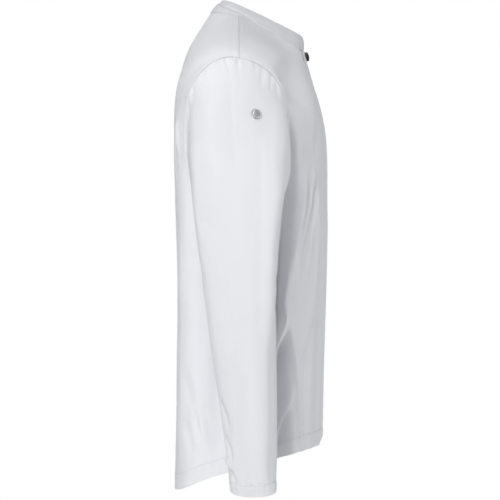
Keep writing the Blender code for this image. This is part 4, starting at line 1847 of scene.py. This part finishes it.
@dataclass
class Collar:
    """The stand collar: a band that leans in, with rounded front corners and a crease behind."""

    wardrobe: Wardrobe
    top: Ring = Ring(58, 96, 28.5, -26.5, 17.5, 29.5, 0.01, 0.0, 0.0, 0.0)
    puff: float = 1.6
    meet: float = 1.0
    corner: float = 11.0
    crowd: float = 0.44
    columns: int = 300
    rows: int = 30
    thick: float = 1.8
    lift: float = 0.1
    crease_end: float = 132.0
    crease_height: float = 0.86
    crease_bend: float = 1.15
    crease_depth: float = 1.65
    crease_width: float = 2.0
    crease_offset: float = 0.5
    crease_fade: float = 0.14
    swell: float = 0.75
    swell_rise: float = 5.0
    swell_middle: float = 7.0
    swell_width: float = 9.0
    roll: float = 0.15
    roll_side: float = 0.75
    roll_middle: float = 2.8
    roll_width: float = 1.8
    seam_dip: float = 0.2
    seam_width: float = 0.9
    edge_stitch: float = 3.0
    groove_depth: float = 0.3
    groove_width: float = 0.8
    rumple: Rumple = Rumple(seed=5, height=0.28, shortest=16, longest=60)
    cut: CutSize = CutSize(0.44, 0.045, 0.0145)

    def build(self) -> Piece:
        """Builds the collar.

        Returns:
            The piece. Its rows go from the top edge down to the neck seam, on straight lines
            between the top ring and the neck ring that swell by a sine, and its front corners
            are quarter circles.
        """
        base_ring = self.wardrobe.trunk.ring(np.array(0.0))
        first = math.asin(self.meet / float(base_ring.half_width))
        turns = first + (FULL_TURN - 2 * first) * crowded(self.columns + 1, self.crowd)
        base, top = base_ring.point(turns), self.top.point(turns)
        x = np.maximum(np.abs(top[:, 0]), self.meet * MM)
        top[:, 0] = np.where(base[:, 0] < 0, -x, x)
        from_end = np.minimum(np.abs(base[:, 0]) / MM - self.meet, self.corner)
        from_end = np.where(base[:, 1] < 0, from_end, self.corner)
        height = np.linalg.norm(top - base, axis=1)
        cut_off = self.corner - np.sqrt(np.maximum(
            self.corner ** 2 - (self.corner - from_end) ** 2, 0.0))
        reach = 1 - cut_off * MM / height
        rise = (1 - crowded(self.rows + 1, 0.5))[:, None] * reach[None, :]
        points = base + (top - base) * rise[..., None]
        swell = unit(np.cross(np.gradient(base, axis=0), top - base))
        points = points + self.puff * MM * np.sin(math.pi * rise)[..., None] * swell
        points[-1] += self.lift * MM * unit(points[-2] - points[-1])
        run = run_down(base)
        up = rise * height[None, :]
        flat = np.stack([np.broadcast_to(run, rise.shape), up], axis=-1)
        self.cloth = Cloth(points, facing_of(points, False), flat)
        self.shape(up / MM, (run - 0.5 * run[-1]) / MM, height / MM)
        return wall_piece("collar_cloth", self.cloth, self.thick)

    def shape(self, up: Array, around: Array, height: Array) -> None:
        """Gives the collar its crease, its seam roll and its stitched edges.

        Args:
            up: millimetres above the neck seam.
            around: millimetres round the neck from the centre back.
            height: the collar's height at each column, in millimetres.
        """
        along = np.abs(around) / self.crease_end
        outer = run_down(self.cloth.points)[-1] / MM
        stitched = np.minimum(height, outer) - up - self.edge_stitch
        roll = self.roll + self.roll_side * hill(along - 0.9, 0.3)
        roll = roll * hill(up - self.roll_middle, self.roll_width)
        roll = roll - self.seam_dip * ease(2 * along - 0.4) * hill(up, self.seam_width)
        soft = self.rumple.relief(np.broadcast_to(around, up.shape), up) * ease(up / 4.0)
        groove = self.groove_depth * hill(stitched, self.groove_width)
        self.cloth.rise = (self.crease(along, up, height) - groove + roll + soft) * MM
        # painted shade and puckers at the neck seam and along the stitched edge
        self.cloth.seam_pucker_and_shade = np.maximum(0.8 * hill(up, 5.0), 0.5 * hill(stitched, 2.5))

    def crease(self, along: Array, up: Array, height: Array) -> Array:
        """The crease behind the neck, which comes down to the seam on both sides.

        Args:
            along: each column's share of the way from the centre back to the crease's end.
            up: millimetres above the neck seam.
            height: the collar's height at each column, in millimetres.

        Returns:
            Millimetres: a hill sunk along the crease, and a lower, wider swell raised below it.
        """
        below = height * self.crease_height * (1 - along ** self.crease_bend) - up
        sunk = self.crease_depth * hill(below + self.crease_offset, self.crease_width)
        swell = self.swell * hill(up - self.swell_middle, self.swell_width)
        swell = swell * ease(below / self.swell_rise)
        return (swell - sunk) * ease((1.02 - along) / self.crease_fade)

    def tracks(self) -> list[Track]:
        """A line of stitches inside the free edge."""
        down = run_down(self.cloth.points) / MM
        return [Track.where(self.cloth, down, self.edge_stitch, slice(4, -4))]


@dataclass
class Sleeve:
    """One sleeve, gathered into the armhole at its head, with a turned hem at the wrist."""

    wardrobe: Wardrobe
    side: Side
    arcs: int = 204
    arc_crowd: float = 0.35
    head_crowd: float = 1.5
    rows_head: int = 56
    rows_tube: int = 112
    rows_hem: int = 22
    hem_place: float = 5.62
    hem_depth: float = 15.0
    measure: float = 52.0
    wrist_measure: float = 36.0
    gathers: tuple[Gather, ...] = SLEEVE_GATHERS
    creases: tuple[Crease, ...] = SLEEVE_CREASES
    fold_start: float = 40.0
    head_roll: float = 0.8
    head_roll_middle: float = 6.0
    head_roll_width: float = 5.0
    head_roll_arc: float = 40.0
    seam_dip: float = 0.9
    seam_width: float = 1.3
    pucker_and_shade_reach: float = 12.0
    underarm_dip: float = 0.6
    underarm_width: float = 1.8
    underarm_start: float = 8.0
    underarm_calm: float = 0.5
    badge_calm: float = 13.0
    cut: CutSize = CutSize(0.40, 0.67, 0.185)

    def build(self) -> Piece:
        """Builds the sleeve on the left, and moves it over for the right.

        Returns:
            The piece.
        """
        form = self.wardrobe.sleeve
        seam = self.wardrobe.armhole.seam(self.arcs, self.arc_crowd)
        shares = np.linspace(0.0, 1.0, self.rows_head + 1) ** self.head_crowd
        places = joined((0.0, self.hem_place, self.rows_tube),
                        (self.hem_place, form.last, self.rows_hem))[1:]
        points = np.concatenate([form.head(seam, shares),
                                 form.tube(seam.arcs[None, :], places[:, None])])
        points[0] += self.wardrobe.half_gap * seam.across
        points, mitre = points[:, ::-1], seam.mitre[::-1]
        arc = np.where(seam.arcs > math.pi, seam.arcs - FULL_TURN, seam.arcs)[::-1]
        run = run_down(points)
        cut_across = FULL_TURN - seam.arcs[::-1]
        cut_across = np.append(cut_across, cut_across[0] + FULL_TURN) * self.measure * MM
        flat = np.stack(np.broadcast_arrays(
            cut_across[None, :], -np.hstack([run, run[:, :1]])), axis=-1)
        self.cloth = Cloth(points, facing_of(points, True), flat, closed=True)
        self.cloth.mitre[0] = mitre
        self.shape(arc, run / MM)
        if self.side is Side.RIGHT:
            self.cloth = self.cloth.mirrored()
            self.to_hem = self.to_hem[:, ::-1]
        return HemBand(self.hem_depth).wall(f"sleeve_{self.side.word}_cloth", self.cloth,
                                            self.to_hem, self.wardrobe.wall)

    def shape(self, arc: Array, run: Array) -> None:
        """Gives the sleeve its gathers, creases, seams and hem.

        Args:
            arc: radians round it, from minus half a turn to half a turn, positive in front.
            run: millimetres of cloth from the armhole to each point.
        """
        degrees = np.degrees(arc)[None, :]
        total = self.folds(arc, run)
        total += sum(gather.relief(degrees, run, self.measure) for gather in self.gathers)
        if self.side is Side.RIGHT:
            badge = (np.array(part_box("badge")) * MIRROR).mean(0)
            to_badge = np.linalg.norm(self.cloth.points - badge, axis=-1) / MM
            total *= 1 - hill(to_badge, self.badge_calm)
        head = hill(degrees, self.head_roll_arc)
        total += self.head_roll * head * hill(run - self.head_roll_middle, self.head_roll_width)
        rear = RearSeam()
        depth = rear.depth(degrees)
        total += rear.fill(depth, run) - self.seam_dip * depth * hill(run, self.seam_width)
        to_underarm = (math.pi - np.abs(arc)) * self.measure
        seam = self.underarm_dip * hill(to_underarm, self.underarm_width)
        self.cloth.rise = (total - seam * ease(run / self.underarm_start)) * MM
        # painted shade and puckers at the armhole and underarm seams
        near = 0.5 * hill(to_underarm, 5.0)
        self.cloth.seam_pucker_and_shade = np.maximum(hill(run, self.pucker_and_shade_reach), near)
        self.to_hem = run[-1] - run
        HemBand(self.hem_depth, pucker=0.5, pucker_length=11.0).shape(
            self.cloth, self.to_hem, np.broadcast_to(arc * self.wrist_measure, run.shape))

    def folds(self, arc: Array, run: Array) -> Array:
        """The creases and the rumple, which start below the head and calm down underarm.

        Args:
            arc: radians round the sleeve.
            run: millimetres of cloth from the armhole to each point.

        Returns:
            Millimetres.
        """
        across = np.broadcast_to(arc * self.measure, run.shape)
        down = -self.cloth.points[..., 2] / MM
        total = sum(crease.relief(across, down) for crease in self.creases)
        rumple = Rumple(seed=7 if self.side is Side.LEFT else 3, height=0.55, shortest=26,
                        longest=100)
        ends = ease((math.pi - np.abs(arc)) / self.underarm_calm)
        return (total + rumple.relief(across, down) * ends) * ease(run / self.fold_start)

    def tracks(self) -> list[Track]:
        """The hem's stitched line, closed round the wrist."""
        return [Track.hem(self.cloth, self.to_hem, self.hem_depth).closed()]


@dataclass(frozen=True)
class Turning:
    """A round piece turned on its own axis, from shares of its radius and heights."""

    name: str
    node: str
    slot: Slot
    finish: MetalFinish
    outline: tuple[tuple[float, float], ...]
    sides: int = 72
    smooth: int = 6

    def seat(self) -> tuple[Array, Array, float]:
        """Finds where the CAD solid sits.

        Returns:
            The middle of its foot, its axis out of the shirt, which is the direction in which
            its points spread least, and its radius, in metres.
        """
        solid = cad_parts[self.node].data
        places = np.empty(len(solid.vertices) * 3, np.float32)
        solid.vertices.foreach_get("co", places)
        places = places.reshape(-1, 3).astype(float)
        places = np.unique(places.round(6), axis=0)
        middle = places.mean(0)
        axis = np.linalg.svd(places - middle)[2][2]
        axis *= np.sign(axis @ (middle - np.array([0.0, 0.0, middle[2]])))
        heights = (places - middle) @ axis
        foot = middle + axis * heights.min()
        radius = np.linalg.norm(np.cross(places - middle, axis), axis=1).max()
        return foot, axis, radius

    def build(self) -> Piece:
        """Builds the piece where its CAD solid is.

        Returns:
            The piece: its outline, read as a smooth curve and carried round the axis. A row of
            quads closes each pole.
        """
        foot, axis, radius = self.seat()
        table = np.array(self.outline)
        path = glide(table, np.linspace(0, len(table) - 1, (len(table) - 1) * self.smooth + 1))
        aside = unit(np.cross(axis, (0.0, 0.0, 1.0)))
        other = np.cross(axis, aside)
        angle = np.linspace(0, FULL_TURN, self.sides, endpoint=False)[None, :, None]
        circle = np.cos(angle) * aside + np.sin(angle) * other
        share, height = path[:, :1, None], path[:, 1:, None] * MM
        rings = foot + radius * share * circle + height * axis
        number, _ = grid_quads(len(path), self.sides, True)
        step = np.arange(self.sides // 2 - 1)
        cap = np.stack([step, step + 1, self.sides - 2 - step, self.sides - 1 - step], 1)
        quads = np.concatenate([number[:, ::-1], cap[:, ::-1], cap + number.max() + 1 - self.sides])
        return mesh_piece(self.name, rings.reshape(-1, 3), quads, sharp=40.0)


STUD = Turning("stud", "stud_cap", Slot.SNAP, STUD_FINISH,
               ((0.02, 0.0), (0.6, 0.0), (0.95, 0.15), (1.05, 0.9), (1.08, 2.1), (1.05, 3.4),
                (0.93, 4.2), (0.89, 4.15), (0.6, 4.9), (0.25, 5.25), (0.02, 5.3)))
BADGE = Turning("badge_disc", "badge", Slot.BADGE, BADGE_FINISH,
                ((0.02, 0.0), (0.6, 0.0), (0.93, 0.15), (1.0, 0.7), (0.98, 1.25), (0.92, 1.6),
                 (0.82, 1.62), (0.76, 1.3), (0.7, 1.22), (0.62, 1.6), (0.45, 2.05), (0.2, 2.33),
                 (0.02, 2.4)))


# ---- the studio

@dataclass(frozen=True)
class Softbox:
    """A square lamp that faces the shirt."""

    name: str
    place: Triple
    size: float
    power: float

    def hang(self, target: Triple) -> None:
        """Hangs the lamp and turns it.

        Args:
            target: the place that it faces.
        """
        data = bpy.data.lights.new(self.name, "AREA")
        data.size, data.energy = self.size, self.power
        lamp = linked(self.name, data)
        lamp.location = self.place
        way = Vector(target) - lamp.location
        lamp.rotation_euler = way.to_track_quat("-Z", "Y").to_euler()


@dataclass(frozen=True)
class Studio:
    """A pale floor, soft lamps, a white surround and the camera at the shirt's right side."""

    middle: Triple = (0.0, -0.015, -0.354)
    camera_distance: float = 4.0
    picture_width: float = 0.77
    sensor: float = 36.0
    floor_z: float = -1.45
    floor_radius: float = 6.0
    floor_sides: int = 96
    floor_rings: int = 14
    surround: float = 0.2
    lamps: tuple[Softbox, ...] = (
        Softbox("key", (-3.3, 1.3, 0.45), 2.1, 65.0),
        Softbox("front", (-0.35, -3.98, -0.6), 1.4, 32.0),
        Softbox("front_right", (-1.4, -3.7, -0.7), 1.4, 28.0),
        Softbox("back", (-1.7, 3.5, 0.4), 1.8, 25.0),
        Softbox("top", (-1.3, 0.5, 3.3), 1.6, 50.0),
    )

    def set_camera(self) -> None:
        """Puts the camera level with the middle of the shirt, looking along +X."""
        data = bpy.data.cameras.new("camera")
        data.sensor_width = self.sensor
        data.lens = self.sensor * self.camera_distance / self.picture_width
        data.clip_end = 100.0
        camera = linked("camera", data)
        camera.location = (-self.camera_distance, self.middle[1], self.middle[2])
        camera.rotation_euler = (QUARTER, 0.0, -QUARTER)
        bpy.context.scene.camera = camera

    def set_surround(self) -> None:
        """A white surround to look at, dimmer as a light."""
        world = bpy.data.worlds.new("surround")
        world.use_nodes = True
        nodes, links = world.node_tree.nodes, world.node_tree.links
        seen, lit = nodes["Background"], nodes.new("ShaderNodeBackground")
        for node, colour, strength in ((seen, (1.0, 1.0, 1.0, 1.0), 1.0),
                                       (lit, (0.97, 0.98, 1.0, 1.0), self.surround)):
            node.inputs["Color"].default_value = colour
            node.inputs["Strength"].default_value = strength
        path, mix = nodes.new("ShaderNodeLightPath"), nodes.new("ShaderNodeMixShader")
        links.new(path.outputs["Is Camera Ray"], mix.inputs[0])
        links.new(lit.outputs[0], mix.inputs[1])
        links.new(seen.outputs[0], mix.inputs[2])
        links.new(mix.outputs[0], nodes["World Output"].inputs["Surface"])
        bpy.context.scene.world = world

    def lay_floor(self) -> None:
        """A round pale floor below the shirt, faintly uneven in tone."""
        angle = np.linspace(0, FULL_TURN, self.floor_sides, endpoint=False)
        radius = np.linspace(self.floor_radius, MM, self.floor_rings)[:, None]
        points = np.stack(np.broadcast_arrays(
            radius * np.cos(angle), radius * np.sin(angle), self.floor_z), axis=-1)
        number, _ = grid_quads(self.floor_rings, self.floor_sides, True)
        floor = mesh_piece("floor", points.reshape(-1, 3), number[:, ::-1])
        sheet = NodeSheet("pale_floor")
        sheet.settle(Roughness=0.9)
        tone = sheet.noise(sheet.in_space(), 3.0)
        sheet.paint(tone, (0.86, 0.86, 0.86, 1.0), (0.82, 0.82, 0.83, 1.0))
        floor.data.materials.append(sheet.material)

    def set_up(self) -> None:
        """Sets the whole studio up, with colours shown as they are."""
        self.set_camera()
        self.set_surround()
        self.lay_floor()
        for lamp in self.lamps:
            lamp.hang(self.middle)
        bpy.context.scene.view_settings.view_transform = "Standard"


# ---- making the shirt

def make_cloth(wardrobe: Wardrobe) -> None:
    """Args:
        wardrobe: what the pieces share.
    """
    folds = TrunkFolds(wardrobe.trunk, wardrobe.armhole)
    makers = {
        "back": Back(wardrobe, folds),
        "front_left": Front(wardrobe, folds, side=Side.LEFT),
        "front_right": Front(wardrobe, folds, side=Side.RIGHT),
        "placket": Placket(wardrobe, folds),
        "collar": Collar(wardrobe),
        "sleeve_left": Sleeve(wardrobe, Side.LEFT),
        "sleeve_right": Sleeve(wardrobe, Side.RIGHT),
    }
    stitching = Stitching()
    for node, maker in makers.items():
        # the collar gets the darker copy of the cloth, painted shade
        finish = wardrobe.shaded_band_finish if node == "collar" else wardrobe.cloth_finish
        piece = wardrobe.hand_in(maker.build(), finish, Slot.CLOTH, node)
        thread = stitching.sew(f"{node}_stitches", maker.tracks())
        wardrobe.hand_in(thread, wardrobe.thread_finish, Slot.CLOTH)


def make_metal(wardrobe: Wardrobe) -> None:
    """Makes the press stud's cap and the sleeve's badge."""
    for turning in (STUD, BADGE):
        wardrobe.hand_in(turning.build(), turning.finish.make(), turning.slot, turning.node)


def main() -> None:
    """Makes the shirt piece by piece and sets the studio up."""
    logging.basicConfig(level=logging.INFO, format="%(name)s: %(message)s")
    wardrobe = Wardrobe()
    make_cloth(wardrobe)
    make_metal(wardrobe)
    Studio().set_up()


if __name__ == "__main__":
    main()
